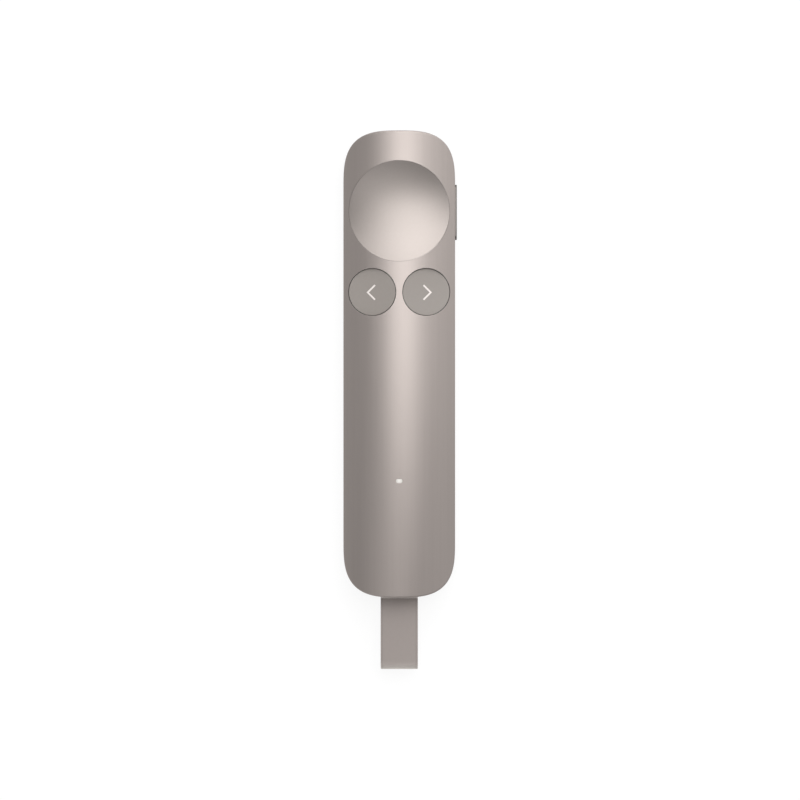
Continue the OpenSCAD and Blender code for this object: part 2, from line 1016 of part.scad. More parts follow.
module receiver_plug_core() {
    liner = (plug_inner.y - tongue_size.y) / 2 - tongue_gap;
    color("#26262a") {
        along(receiver_in, receiver_in + core_root)
            translate([0, axis_z]) stadium(plug_inner);
        for (side = [-1, 1])
            along(receiver_in + core_root / 2, receiver_in + plug_length - core_recess)
                translate([0, axis_z + side * (plug_inner.y - liner) / 2])
                    square([plug_inner.x - plug_inner.y, liner], center = true);
    }
}

// Side view of the folded strap: two straight runs and a round fold at the far end
module tab_profile() {
    far = -half_length - tab_reach;
    fold = tab_thickness / 2;
    difference() {
        union() {
            translate([far + fold, 0]) circle(fold);
            translate([far + fold, -fold])
                square([receiver_out - far - fold, tab_thickness]);
        }
        translate([far + fold, 0]) circle(fold - tab_strap);
        translate([far + fold, tab_strap - fold])
            square([receiver_out - far - fold - tab_strap, tab_thickness - 2 * tab_strap]);
    }
}

module pull_tab() {
    color("#9d9590") {
        across(-tab_width / 2, tab_width / 2)
            translate([0, axis_z]) tab_profile();
        along(receiver_out - tab_strap / 2, receiver_out + tab_root)
            translate([0, axis_z])
                square([tab_root_width, tab_root_height], center = true);
    }
}

top_shell();
bottom_shell();
pointer_pad();
previous_key();
next_key();
side_key();
status_light_pipe();
status_led();
inner_frame();
main_board();
board_screws();
processor();
shield_can();
motion_sensor();
antenna();
pointer_switch();
previous_switch();
next_switch();
side_switch();
pointer_stem();
previous_stem();
next_stem();
side_stem();
battery();
battery_pad();
battery_connector();
haptic_motor();
laser_module();
laser_window();
receiver_dock();
charge_port_shell();
charge_port_tongue();
receiver_body();
receiver_plug_shell();
receiver_plug_core();
pull_tab();
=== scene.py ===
# %% [markdown]
# # A presentation clicker
# This lesson dresses a finished CAD model of a hand-held presentation clicker: a slim crowned
# metal body with a dished thumb pad, two round keys, a side key, a status light and a receiver
# that slides out on a pull tab. The CAD solids give every place and size. Here they get fine
# edges, real finishes, light and a camera.

# %% Load the CAD model as a fixed frame
import math
from contextlib import contextmanager

import bmesh
import bpy
import numpy as np
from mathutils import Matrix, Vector
from mathutils.geometry import delaunay_2d_cdt


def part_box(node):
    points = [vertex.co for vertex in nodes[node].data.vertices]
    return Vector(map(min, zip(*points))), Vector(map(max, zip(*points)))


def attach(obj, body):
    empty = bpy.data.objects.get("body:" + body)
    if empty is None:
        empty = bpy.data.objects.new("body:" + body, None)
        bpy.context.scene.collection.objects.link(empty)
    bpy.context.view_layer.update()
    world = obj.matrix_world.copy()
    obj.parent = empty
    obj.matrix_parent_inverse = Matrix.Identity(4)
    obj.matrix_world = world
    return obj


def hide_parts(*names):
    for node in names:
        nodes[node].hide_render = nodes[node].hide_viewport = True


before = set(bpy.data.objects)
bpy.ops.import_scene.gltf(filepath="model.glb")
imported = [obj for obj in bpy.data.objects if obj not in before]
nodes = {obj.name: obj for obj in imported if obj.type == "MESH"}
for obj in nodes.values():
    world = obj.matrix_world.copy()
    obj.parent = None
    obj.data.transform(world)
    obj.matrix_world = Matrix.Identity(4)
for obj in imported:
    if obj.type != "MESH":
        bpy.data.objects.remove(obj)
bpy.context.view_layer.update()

# %% [markdown]
# ## Sizes
# Blender works in metres and the clicker is small, so the lesson thinks in millimetres and
# turns them into metres at the moment a mesh is made. Sizes that the CAD model already knows
# are read from its boxes. The rest are walls, gaps and the heights that its arcs pass through.

# %% Read the main sizes from the CAD nodes
MM = 0.001


def node_box(name):
    """Lowest and highest corner of a CAD node, in millimetres."""
    low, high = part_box(name)
    return low / MM, high / MM


def middle(name):
    """Centre of a CAD node's box, in millimetres."""
    return tuple((a + b) / 2 for a, b in zip(*node_box(name)))


def in_short(numbers):
    """Numbers with two decimals, for printing."""
    return [round(float(n), 2) for n in numbers]


top_low, top_high = node_box("top_shell")
half_width, half_length, body_height = top_high
end_centre = half_length - half_width
wall = 1.2
seam_gap = 0.1
print("body", in_short((2 * half_width, 2 * half_length, body_height)), "mm")

# %% Arcs of the body
crown_edge_height = 8.12
belly_side_height = 3.4
rest_half = 7.0
rest_end = 50.0
end_lift = 1.6
side_crease, land_crease = 0.25, 0.12
crown_fall = body_height - crown_edge_height
crown_radius = (half_width**2 + crown_fall**2) / (2 * crown_fall)
crown_centre = body_height - crown_radius
belly_centre = (half_width**2 + belly_side_height**2 - rest_half**2) / (2 * belly_side_height)
belly_radius = math.hypot(rest_half, belly_centre)
lift_centre = (half_length**2 + end_lift**2 - rest_end**2) / (2 * end_lift)
lift_radius = math.hypot(rest_end, lift_centre)
print("radii of crown, belly and lifted ends", in_short((crown_radius, belly_radius, lift_radius)), "mm")


def crown(x, y, depth=0.0):
    """Height of the crowned face, or of a surface that lies deeper in its wall."""
    return crown_centre + np.sqrt((crown_radius - depth) ** 2 - x * x)


def soften(a, b, width):
    """The larger of two heights, with the crease between them rounded."""
    h = np.clip(0.5 + 0.5 * (a - b) / width, 0, 1)
    return b + (a - b) * h + width * h * (1 - h)


def belly(x, y, depth=0.0):
    """Height of the underside: a flat land, a round belly and two lifted ends."""
    side = belly_centre - np.sqrt((belly_radius - depth) ** 2 - x * x)
    end = lift_centre - np.sqrt((lift_radius - depth) ** 2 - y * y)
    return soften(soften(side, end, side_crease), depth + 0 * x, land_crease)


# %% [markdown]
# ## Small helpers
# Every piece ends the same way: a mesh in metres with its place in its vertices, smooth
# faces with sharp corners kept sharp, one material, and a ride on the CAD body that it
# moves with.

# %% From points to a mesh
weld_distance = 1e-7


@contextmanager
def editing(mesh):
    """A mesh opened for editing and written back afterwards."""
    bm = bmesh.new()
    bm.from_mesh(mesh)
    yield bm
    bm.to_mesh(mesh)
    bm.free()


def new_mesh(name, verts, faces):
    """A mesh from millimetre points, with doubles merged and faces turned outwards."""
    mesh = bpy.data.meshes.new(name)
    points = [tuple(float(c) * MM for c in v) for v in verts]
    mesh.from_pydata(points, [], [tuple(map(int, f)) for f in faces])
    with editing(mesh) as bm:
        bmesh.ops.remove_doubles(bm, verts=bm.verts, dist=weld_distance)
        bmesh.ops.recalc_face_normals(bm, faces=bm.faces)
    return mesh


def new_object(name, mesh):
    obj = bpy.data.objects.new(name, mesh)
    bpy.context.scene.collection.objects.link(obj)
    return obj


def open_edges(mesh):
    """How many edges don't have exactly two faces: 0 on a closed piece."""
    bm = bmesh.new()
    bm.from_mesh(mesh)
    count = sum(len(e.link_faces) != 2 for e in bm.edges)
    bm.free()
    return count


# %% From a mesh to a finished piece
def settle(obj):
    """Applies the modifiers: the evaluated result becomes the object's own mesh."""
    bpy.context.view_layer.update()
    evaluated = obj.evaluated_get(bpy.context.evaluated_depsgraph_get())
    mesh = bpy.data.meshes.new_from_object(evaluated)
    obj.modifiers.clear()
    obj.data = mesh
    return obj


def combine(obj, others, operation):
    """Joins solids to a piece, or cuts them out of it, removes the tools and merges doubles."""
    for other in others:
        modifier = obj.modifiers.new("combine", "BOOLEAN")
        modifier.object, modifier.operation, modifier.solver = other, operation, "EXACT"
    settle(obj)
    for other in others:
        bpy.data.objects.remove(other)
    with editing(obj.data) as bm:
        bmesh.ops.remove_doubles(bm, verts=bm.verts, dist=2 * weld_distance)
        bmesh.ops.dissolve_degenerate(bm, edges=bm.edges, dist=2 * weld_distance)
    return obj


def finish_piece(obj, material, body, stands_for=(), smooth=35):
    """Shading, material and the CAD body that carries the piece."""
    obj.data.materials.clear()
    obj.data.materials.append(material)
    obj.data.shade_smooth()
    obj.data.set_sharp_from_angle(angle=math.radians(smooth))
    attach(obj, body)
    if stands_for:
        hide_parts(*stands_for)
    triangles = sum(len(p.vertices) - 2 for p in obj.data.polygons)
    print(f"{obj.name}: {triangles} triangles, {open_edges(obj.data)} open edges")
    return obj


# %% [markdown]
# ## Solids from rings
# A ring is a closed row of points. Solids such as a bar key or a rounded block are a stack of
# rings with a cap at each end, so one helper serves them all. Most rings come from one flat
# outline: a rectangle with round corners, which is a bar or a disc when its corners are large.

# %% Flat outlines
smallest_corner = 0.02


def round_outline(size, corner, inset=0.0, steps=10):
    """Points round a rectangle with round corners, moved in by inset on every side."""
    half = np.array(size) / 2 - inset
    corner = max(min(corner - inset, half.min()), smallest_corner)
    angles = np.radians(np.linspace(0, 90, steps + 1))
    points = []
    for turn, (sx, sy) in enumerate([(1, 1), (-1, 1), (-1, -1), (1, -1)]):
        centre = np.array([sx, sy]) * (half - corner)
        for a in angles + turn * math.pi / 2:
            points.append(centre + corner * np.array([math.cos(a), math.sin(a)]))
    return np.array(points)


def circle_loop(centre, radius, count):
    """Points round a circle, counterclockwise."""
    a = np.arange(count) * 2 * math.pi / count
    return np.array(centre) + radius * np.column_stack([np.cos(a), np.sin(a)])


def edge_steps(radius, count=5):
    """Inset and drop pairs that round an edge, from the side to the face."""
    if not radius:
        return [(0, 0)]
    turns = np.linspace(0, math.pi / 2, count + 1)
    return [(radius * (1 - math.cos(a)), radius * (1 - math.sin(a))) for a in turns]


print("an edge of 0.2 mm in steps:", [in_short(step) for step in edge_steps(0.2)])

# %% Stacks of rings
def stack(name, rings):
    """A closed solid from rings of equal count, with flat caps."""
    count = len(rings[0])
    verts = np.concatenate(rings)
    faces = [list(range(count)), list(range(len(verts) - count, len(verts)))]
    for level in range(len(rings) - 1):
        a = level * count
        for i in range(count):
            j = (i + 1) % count
            faces.append((a + i, a + j, a + count + j, a + count + i))
    return new_mesh(name, verts, faces)


def ring_at(flat, station, axis):
    """A flat outline set at a station along an axis."""
    line = np.full((len(flat), 1), station)
    first, second = flat[:, :1], flat[:, 1:]
    columns = {"x": (line, first, second), "y": (first, line, second), "z": (first, second, line)}
    return np.hstack(columns[axis])


def block(name, size, corner, low, high, edges=(0.0, 0.0), axis="z", centre=(0, 0)):
    """A bar or rounded block between two stations along an axis, with rounded end edges."""
    near = [(inset, low + drop) for inset, drop in edge_steps(edges[0])]
    far = [(inset, high - drop) for inset, drop in edge_steps(edges[1])]
    stations = sorted(near, key=lambda s: s[1]) + sorted(far, key=lambda s: s[1])
    rings = [ring_at(round_outline(size, corner, inset) + np.array(centre), along, axis)
             for inset, along in stations]
    return new_object(name, stack(name, rings))


def prism(name, outline, low, high, axis="y"):
    """A flat outline run between two stations along an axis."""
    flat = np.array(outline, float)
    return new_object(name, stack(name, [ring_at(flat, low, axis), ring_at(flat, high, axis)]))


# %% [markdown]
# ## Patterns that several finishes share
# Real surfaces are never one flat value. Three effects come back in many finishes here, so
# each is a node group, built once: fine grain, brush lines that run along the body, and the
# faint marks of handling. Each group only puts out masks and heights. The shader stays in
# the material.

# %% Helpers for node trees
def add(tree, kind, links=None, **settings):
    """A node with its settings, and its sockets linked or set by name or number."""
    node = tree.nodes.new(kind)
    for key, value in settings.items():
        setattr(node, key, value)
    for key, value in (links or {}).items():
        if isinstance(value, bpy.types.NodeSocket):
            tree.links.new(value, node.inputs[key])
        else:
            node.inputs[key].default_value = value
    return node


def maths(tree, operation, *values):
    return add(tree, "ShaderNodeMath", dict(enumerate(values)), operation=operation).outputs[0]


def product(tree, *values):
    """Several values multiplied with each other."""
    result = values[0]
    for value in values[1:]:
        result = maths(tree, "MULTIPLY", result, value)
    return result


def vector_maths(tree, operation, *values):
    node = add(tree, "ShaderNodeVectorMath", dict(enumerate(values)), operation=operation)
    return node.outputs["Value" if operation in ("LENGTH", "DOT_PRODUCT") else "Vector"]


def remap(tree, value, low, high, to_low=0.0, to_high=1.0):
    """A value stretched from one range to another."""
    sockets = {"Value": value, "From Min": low, "From Max": high, "To Min": to_low, "To Max": to_high}
    return add(tree, "ShaderNodeMapRange", sockets).outputs[0]


def noise(tree, place, scale, detail, **more):
    sockets = {"Vector": place, "Scale": scale, "Detail": detail, **more}
    return add(tree, "ShaderNodeTexNoise", sockets).outputs["Fac"]


def blend_tones(tree, factor, first, second):
    """A colour between two others, by a factor that changes over the surface."""
    sockets = {0: factor, 6: first, 7: second}
    return add(tree, "ShaderNodeMix", sockets, data_type="RGBA").outputs[2]


# %% Helpers for node groups
def shader_group(name, inputs, outputs):
    """An empty group with float inputs {name: default} and float outputs."""
    group = bpy.data.node_groups.new(name, "ShaderNodeTree")
    group.interface.new_socket("Place", in_out="INPUT", socket_type="NodeSocketVector")
    for label, default in inputs.items():
        socket = group.interface.new_socket(label, in_out="INPUT", socket_type="NodeSocketFloat")
        socket.default_value = default
    for label in outputs:
        group.interface.new_socket(label, in_out="OUTPUT", socket_type="NodeSocketFloat")
    group.nodes.new("NodeGroupInput")
    group.nodes.new("NodeGroupOutput")
    return group


def ends(group):
    """The sockets that a group takes in and gives out."""
    source = next(n for n in group.nodes if n.bl_idname == "NodeGroupInput")
    sink = next(n for n in group.nodes if n.bl_idname == "NodeGroupOutput")
    return source.outputs, sink.inputs


# %% Fine grain, as on blasted or moulded surfaces
broad_share = 0.13
grain = shader_group("fine_grain", {"Size": 0.12}, ["Height", "Mask"])
taken, given = ends(grain)
per_metre = product(grain, maths(grain, "DIVIDE", 1.0, taken["Size"]), 1 / MM)
grain.links.new(noise(grain, taken["Place"], per_metre, 2.0), given["Height"])
broad = noise(grain, taken["Place"], product(grain, per_metre, broad_share), 3.0)
grain.links.new(broad, given["Mask"])
print(grain.name, "has", len(grain.nodes), "nodes")

# %% Brush lines along the body
band_share = 0.2
brush = shader_group("brush_lines", {"Pitch": 0.15, "Stretch": 60.0}, ["Height", "Mask"])
taken, given = ends(brush)
squeeze = maths(brush, "DIVIDE", 1.0, taken["Stretch"])
shape = add(brush, "ShaderNodeCombineXYZ", {"X": 1.0, "Y": squeeze, "Z": 1.0}).outputs[0]
drawn = vector_maths(brush, "MULTIPLY", taken["Place"], shape)
per_metre = maths(brush, "DIVIDE", 1 / MM, taken["Pitch"])
brush.links.new(noise(brush, drawn, per_metre, 3.0), given["Height"])
brush.links.new(noise(brush, drawn, product(brush, per_metre, band_share), 2.0), given["Mask"])
print(brush.name, "has", len(brush.nodes), "nodes")

# %% Marks of handling: soft cloudy areas that shine a little differently
handling = shader_group("handling_marks", {"Size": 14.0, "Amount": 0.5}, ["Mask"])
taken, given = ends(handling)
per_metre = maths(handling, "DIVIDE", 1 / MM, taken["Size"])
clouds = noise(handling, taken["Place"], per_metre, 4.0, Roughness=0.6, Distortion=0.4)
marks = product(handling, remap(handling, clouds, 0.35, 0.7), taken["Amount"])
handling.links.new(marks, given["Mask"])
print(handling.name, "has", len(handling.nodes), "nodes")

# %% [markdown]
# ## Finishes
# The body is brushed and anodised metal, the pad is fine-blasted metal, and the keys, the base
# and the tab are moulded. Pictures of such surfaces could be laid on them, but they would show
# seams and would blur close up, while a noise in the object's own space stays fine everywhere.
# So one recipe makes them all: a Principled shader whose colour drifts between two close
# tones, whose roughness varies round its middle value, and whose surface has a very small
# relief. What differs is the pattern, the tones and how metallic the surface is.

# %% Helpers for materials
def srgb(*tone):
    """A colour written as it looks on screen, 0 to 255, made linear."""
    shares = [c / 255 for c in tone]
    return tuple(c / 12.92 if c <= 0.04 else ((c + 0.055) / 1.055) ** 2.4 for c in shares) + (1.0,)


def parts_of(material):
    """A material's node tree, its Principled shader and the object's own coordinates."""
    tree = material.node_tree
    return tree, tree.nodes["Principled BSDF"], add(tree, "ShaderNodeTexCoord").outputs["Object"]


def paint_over(material, mask, tone):
    """Lays another tone over a finish where a mask says so."""
    tree = material.node_tree
    base = tree.nodes["Principled BSDF"].inputs["Base Color"]
    under = base.links[0].from_socket
    tree.links.new(blend_tones(tree, mask, under, srgb(*tone)), base)


print("half way on screen is this much light:", round(srgb(128, 128, 128)[0], 3))


# %% The recipe
def finish(name, first, second, roughness, metallic=0.0, pattern=grain, values=None, relief=0.004,
           spread=0.05, marks=0.3, brushed=0.0, **shader_values):
    """A finish with two tones, patterned roughness and relief. Sizes are in millimetres."""
    material = bpy.data.materials.new(name)
    material.use_nodes = True
    tree, shader, place = parts_of(material)
    surface = add(tree, "ShaderNodeGroup", {"Place": place, **(values or {})}, node_tree=pattern).outputs
    touched = add(tree, "ShaderNodeGroup", {"Place": place, "Amount": marks}, node_tree=handling).outputs
    tone = blend_tones(tree, surface["Mask"], srgb(*first), srgb(*second))
    rough = remap(tree, surface["Mask"], 0.0, 1.0, roughness - spread, roughness + spread)
    worn = maths(tree, "MULTIPLY_ADD", touched["Mask"], spread, rough)
    sockets = {"Height": surface["Height"], "Strength": 1.0, "Distance": relief * MM}
    bump = add(tree, "ShaderNodeBump", sockets).outputs[0]
    for socket, value in (("Base Color", tone), ("Roughness", worn), ("Normal", bump)):
        tree.links.new(value, shader.inputs[socket])
    shader.inputs["Metallic"].default_value = metallic
    if brushed:
        shader.inputs["Anisotropic"].default_value = brushed
        tangent = add(tree, "ShaderNodeTangent", direction_type="UV_MAP", uv_map="brush")
        tree.links.new(tangent.outputs[0], shader.inputs["Tangent"])
    for key, value in shader_values.items():
        shader.inputs[key.replace("_", " ")].default_value = value
    return material


def brushed_finish(name, first, second, roughness, pitch, stretch, relief, **more):
    """A metal finish with lines along the body."""
    values = {"Pitch": pitch, "Stretch": stretch}
    return finish(name, first, second, roughness, 1.0, brush, values, relief, **more)


# %% The finishes that show
body_metal = brushed_finish("body_metal", (152, 144, 140), (157, 149, 145), 0.37, pitch=0.14,
                            stretch=70.0, relief=0.0012, spread=0.02, brushed=0.7)
# Painted shade: the side key's metal is a darker copy of the body metal, darkened to stand in for the shade
# that falls on the key in its slot.
painted_shade_side_metal = brushed_finish("painted_shade_side_metal", (98, 94, 91), (104, 99, 96), 0.34, pitch=0.12,
                            stretch=50.0, relief=0.001, spread=0.02, brushed=0.5)
pad_metal = finish("pad_metal", (144, 137, 133), (148, 141, 137), 0.39, 1.0,
                   values={"Size": 0.1}, relief=0.0015, spread=0.02)
key_plastic = finish("key_plastic", (130, 124, 119), (134, 128, 123), 0.38,
                     values={"Size": 0.1}, relief=0.002, Specular_IOR_Level=0.5)
mark_paint = finish("mark_paint", (208, 201, 197), (212, 205, 201), 0.5,
                    values={"Size": 0.08}, relief=0.002)
base_plastic = finish("base_plastic", (140, 134, 130), (146, 139, 135), 0.5,
                      values={"Size": 0.16}, relief=0.006)
tab_rubber = finish("tab_rubber", (135, 127, 123), (139, 131, 127), 0.6,
                    values={"Size": 0.12}, relief=0.005, Specular_IOR_Level=0.35)
receiver_plastic = finish("receiver_plastic", (178, 170, 165), (184, 176, 171), 0.4, relief=0.003)
window_dark = finish("window_dark", (58, 32, 34), (64, 36, 38), 0.08,
                     relief=0.0005, spread=0.02, Coat_Weight=0.4)
print("materials so far:", len(bpy.data.materials))

# %% The finishes inside
frame_plastic = finish("frame_plastic", (56, 57, 60), (64, 65, 68), 0.55,
                       values={"Size": 0.2}, relief=0.008)
dock_plastic = finish("dock_plastic", (70, 71, 74), (78, 79, 82), 0.5,
                      values={"Size": 0.2}, relief=0.008)
chip_black = finish("chip_black", (26, 26, 28), (36, 36, 39), 0.5,
                    values={"Size": 0.08}, relief=0.006)
switch_black = finish("switch_black", (38, 39, 42), (46, 47, 50), 0.45)
stem_ivory = finish("stem_ivory", (214, 209, 196), (222, 217, 205), 0.4, relief=0.003)
led_body = finish("led_body", (236, 232, 214), (244, 240, 224), 0.35, relief=0.002)
ceramic = finish("ceramic", (208, 199, 184), (216, 208, 194), 0.6)
foam = finish("foam", (58, 59, 63), (72, 73, 77), 0.9, values={"Size": 0.25}, relief=0.05)
foil = finish("foil", (180, 182, 186), (190, 192, 196), 0.38, 1.0, values={"Size": 0.5}, relief=0.01)
steel = brushed_finish("steel", (200, 201, 203), (208, 209, 211), 0.28, 0.06, 20.0, relief=0.001)
gold = brushed_finish("gold", (222, 184, 108), (230, 194, 118), 0.25, 0.05, 12.0, relief=0.0008)
brass = brushed_finish("brass", (176, 142, 84), (186, 152, 94), 0.3, 0.06, 4.0, relief=0.001)
print("materials:", len(bpy.data.materials))

# %% [markdown]
# ## The two shells
# Both shells have one plan, straight at the sides with a superellipse at each end, and differ
# only in the surface that closes them: the crown above, the belly below. A grid pushed into
# shape would leave ragged openings. Here the flat plan is cut into triangles between its
# outline and its openings, and each point is then lifted to the surface. The edges between
# walls and surface are rounded by rings that roll a small ball along them.

# %% The plan outline
outline_power = 3.1
curve_samples = 3000
row_pitch = 1.0


def plan_rays(spacing=0.5):
    """A centre and a direction for each point of the outline, so that a loop fits any inset."""
    t = np.linspace(0, math.pi / 2, curve_samples)
    curve = np.column_stack([np.cos(t), np.sin(t)]).clip(0, 1) ** (2 / outline_power)
    length = np.concatenate([[0], np.cumsum(np.hypot(*np.diff(curve, axis=0).T))])
    at = np.linspace(0, length[-1], int(length[-1] * half_width / spacing) + 1)
    quarter = np.column_stack([np.interp(at, length, curve[:, k]) for k in (0, 1)])
    quarter[-1] = (0, 1)
    front = np.concatenate([quarter, quarter[-2::-1] * (-1, 1)])
    rows = np.linspace(end_centre, -end_centre, int(2 * end_centre / row_pitch))[1:-1]
    along = np.column_stack([0 * rows, rows])
    front_centre, rear_centre = [[(0, y)] * len(front) for y in (end_centre, -end_centre)]
    aside = np.ones((len(rows), 1)) * (1, 0)
    centres = np.concatenate([front_centre, along, rear_centre, along[::-1]])
    directions = np.concatenate([front, -aside, -front, aside])
    return centres, directions


ray_centres, ray_directions = plan_rays()


def plan_loop(inset):
    return ray_centres + (half_width - inset) * ray_directions


def inward_normals(loop):
    """Unit normals that point into a loop which runs counterclockwise."""
    step = np.roll(loop, -1, axis=0) - np.roll(loop, 1, axis=0)
    normal = np.column_stack([-step[:, 1], step[:, 0]])
    return normal / np.linalg.norm(normal, axis=1)[:, None]


print("points round the plan:", len(ray_centres))


# %% Rings that round an edge, and bands between rings
probe_step = 0.05
support_width = 0.1


def at_height(flat, z):
    return np.column_stack([flat, np.broadcast_to(z, len(flat))])


def round_edge(flat, inward, surface, radius, side=1, count=5):
    """Rings from an upright wall to a surface. side is 1 for a surface above, -1 for one below.

    The last ring lies on the surface just past the edge, so that the shading stays true there."""
    z = side * surface(flat[:, 0], flat[:, 1])
    probe = flat + probe_step * inward
    slope = (side * surface(probe[:, 0], probe[:, 1]) - z) / probe_step
    centre = z + slope * radius - radius * np.sqrt(1 + slope**2)
    rings = []
    for k in range(count):
        angle = (math.pi / 2 - np.arctan(slope)) * k / count
        moved = flat + (radius * (1 - np.cos(angle)))[:, None] * inward
        rings.append(at_height(moved, side * (centre + radius * np.sin(angle))))
    for inset in (radius, radius + support_width):
        moved = flat + inset * inward
        rings.append(at_height(moved, surface(moved[:, 0], moved[:, 1])))
    return rings


def band(rings):
    """Quads between neighbouring rings of equal count."""
    count = len(rings[0])
    i = np.arange(count)
    j = (i + 1) % count
    strip = np.column_stack([i, j, j + count, i + count])
    faces = [strip + level * count for level in range(len(rings) - 1)]
    return np.concatenate(rings), np.concatenate(faces).tolist()


# %% Triangles that fill a surface between loops
row_share = 0.87
clear_share = 0.75


def within(points, loop):
    """Which points lie inside a closed loop."""
    x, y = points[:, :1], points[:, 1:2]
    ax, ay = loop[:, 0], loop[:, 1]
    bx, by = np.roll(ax, -1), np.roll(ay, -1)
    crosses = (ay > y) != (by > y)
    with np.errstate(divide="ignore", invalid="ignore"):
        crossing = ax + (y - ay) * (bx - ax) / (by - ay)
    return np.sum(crosses & (x < crossing), axis=1) % 2 == 1


def between(points, loops):
    """Which points lie inside the outer loop and outside the loops of the openings."""
    keep = within(points, loops[0])
    for loop in loops[1:]:
        keep &= ~within(points, loop)
    return keep


def fill_surface(loops, surface, spacing):
    """Triangles on a surface between its outer loop and the loops of its openings."""
    rim = np.concatenate(loops)
    rows = np.arange(-half_length, half_length, spacing * row_share)
    columns = np.arange(-half_width, half_width, spacing)
    grid = np.array([(x + (spacing / 2 if k % 2 else 0), y) for k, y in enumerate(rows) for x in columns])
    grid = grid[between(grid, loops)]
    near = np.array([np.min(np.hypot(*(rim[:, :2] - p).T)) for p in grid])
    grid = grid[near > clear_share * spacing]
    points = np.concatenate([rim[:, :2], grid])
    edges, start = [], 0
    for loop in loops:
        n = len(loop)
        edges += [(start + i, start + (i + 1) % n) for i in range(n)]
        start += n
    flat, _, faces, _, _, _ = delaunay_2d_cdt([Vector(p) for p in points], edges, [], 0, 1e-7, False)
    faces = np.array(faces)
    centres = np.array([points[list(f)].mean(axis=0) for f in faces])
    heights = np.concatenate([rim[:, 2], surface(grid[:, 0], grid[:, 1])])
    assert len(flat) == len(points)
    return np.column_stack([points, heights]), faces[between(centres, loops)].tolist()


def gather(parts):
    """One list of points and faces from several."""
    verts, faces, start = [], [], 0
    for points, polygons in parts:
        verts.append(points)
        faces += [[i + start for i in polygon] for polygon in polygons]
        start += len(points)
    return np.concatenate(verts), faces


# %% A shell from its surface, its rim profile and its openings
inner_coarseness = 1.6


def shell_parts(surface, side, rim, edge, openings, spacing):
    """Outer and inner surface, the rim between them, and the walls of the openings."""
    outline = plan_loop(0)
    outer = round_edge(outline, inward_normals(outline), surface, edge, side)
    rings = outer[::-1] + [at_height(plan_loop(inset), z) for inset, z in rim]
    inner = plan_loop(rim[-1][0])

    def deep(x, y):
        return surface(x, y, wall)

    inner_ring = at_height(inner, deep(inner[:, 0], inner[:, 1]))
    parts = [band(rings + [inner_ring])]
    outer_loops, inner_loops = [outer[-1]], [inner_ring]
    for flat, radius in openings:
        mouth = round_edge(flat, -inward_normals(flat), surface, radius, side, 3)
        foot = at_height(flat, deep(flat[:, 0], flat[:, 1]))
        parts.append(band([foot] + mouth))
        outer_loops.append(mouth[-1])
        inner_loops.append(foot)
    parts.append(fill_surface(outer_loops, surface, spacing))
    parts.append(fill_surface(inner_loops, deep, inner_coarseness * spacing))
    return gather(parts)


# %% Where the openings are
cap_gap = 0.1
pad_low, pad_high = node_box("pointer_pad")
key_low, key_high = node_box("next_key")
side_low, side_high = node_box("side_key")
receiver_low, receiver_high = node_box("receiver_body")
pad_centre = middle("pointer_pad")[:2]
key_centre = middle("next_key")[:2]
side_centre = middle("side_key")[1:]
light_centre = (0.0, middle("status_light_pipe")[1])
dock_axis = middle("receiver_body")[2]
laser_axis = middle("laser_window")[2]
pad_radius = (pad_high.x - pad_low.x) / 2
key_radius = (key_high.x - key_low.x) / 2
print("pad of radius", round(pad_radius, 2), "at", in_short(pad_centre))
print("keys of radius", round(key_radius, 2), "at", in_short(key_centre))

# %% [markdown]
# ## Openings in the side and the ends
# The side key's slot, the receiver's bay and the laser's window break through walls that stand
# upright, where the plan has no outline to cut. So they are cut from the finished shells with
# solids that flare where they leave the wall. A bevel after the cut would have to find its
# edges on a curved wall. The flare gives the small even chamfer at once, and that of the bay
# follows the curved end point by point.

# %% A cutter that flares
chamfer = 0.15
cut_depth, cut_reach = 2.6, 0.3


def end_wall(x):
    """Distance from the middle of the body to its end wall, at a place across the body."""
    return end_centre + half_width * (1 - np.abs(x / half_width) ** outline_power) ** (1 / outline_power)


def flared_cutter(name, size, corner, centre, direction):
    """A cutter whose outer end widens. direction is 'side', 'rear' or 'front'."""
    rings = []
    for inset, out in [(0, -cut_depth), (0, -chamfer), (-chamfer - cut_reach, cut_reach)]:
        flat = round_outline(size, corner, inset) + np.array(centre)
        if direction == "side":
            rings.append(ring_at(flat, half_width + out, "x"))
        else:
            y = end_wall(round_outline(size, corner)[:, 0] + centre[0]) + out
            rings.append(np.column_stack([flat[:, 0], -y if direction == "rear" else y, flat[:, 1]]))
    return new_object(name, stack(name, rings))


# %% Cutters for the side slot, the receiver's bay and the window
bar_length = 15.6
bar_height = side_high.z - side_low.z
slot_gap = 0.12
slot_length, slot_height = bar_length + 2 * slot_gap, bar_height + 2 * slot_gap
bay_size, bay_corner = (12.0, 6.0), 1.0
window_size, window_corner = (3.7, 3.7), 1.85
print("slot", in_short((slot_length, slot_height)), "bay", bay_size, "window", window_size, "mm")


def cutters():
    """The slot and the bay, which reach into both shells."""
    return [
        flared_cutter("slot_cutter", (slot_length, slot_height), slot_height / 2, side_centre, "side"),
        flared_cutter("bay_cutter", bay_size, bay_corner, (0, dock_axis), "rear"),
    ]


# %% [markdown]
# ## Snaps and posts
# Inside, tongues on the lower shell carry beads that catch in grooves of the upper one, and
# four posts under the crown keep the board down. They are plain bars: the outlines of the
# snaps run along the body, those of the posts upwards. Each bar is joined to its shell or
# cut out of it, because a real shell is moulded or cast with them in one piece.

# %% Snaps that hold the shells together
snap_fit = 0.08
snap_face = half_width - wall - snap_fit
snap_root, snap_height = 2.9, 5.8
snap_thickness, snap_half = 0.7, 4.0
bead_depth, bead_base, bead_tip = 0.3, 0.4, 0.1
overlap = 0.3
lip_below_board = 1.23
lip_top = node_box("main_board")[0].z - lip_below_board
snap_places = [(side, y) for side in (-1, 1) for y in (-38.0, -10.0, 18.0)]


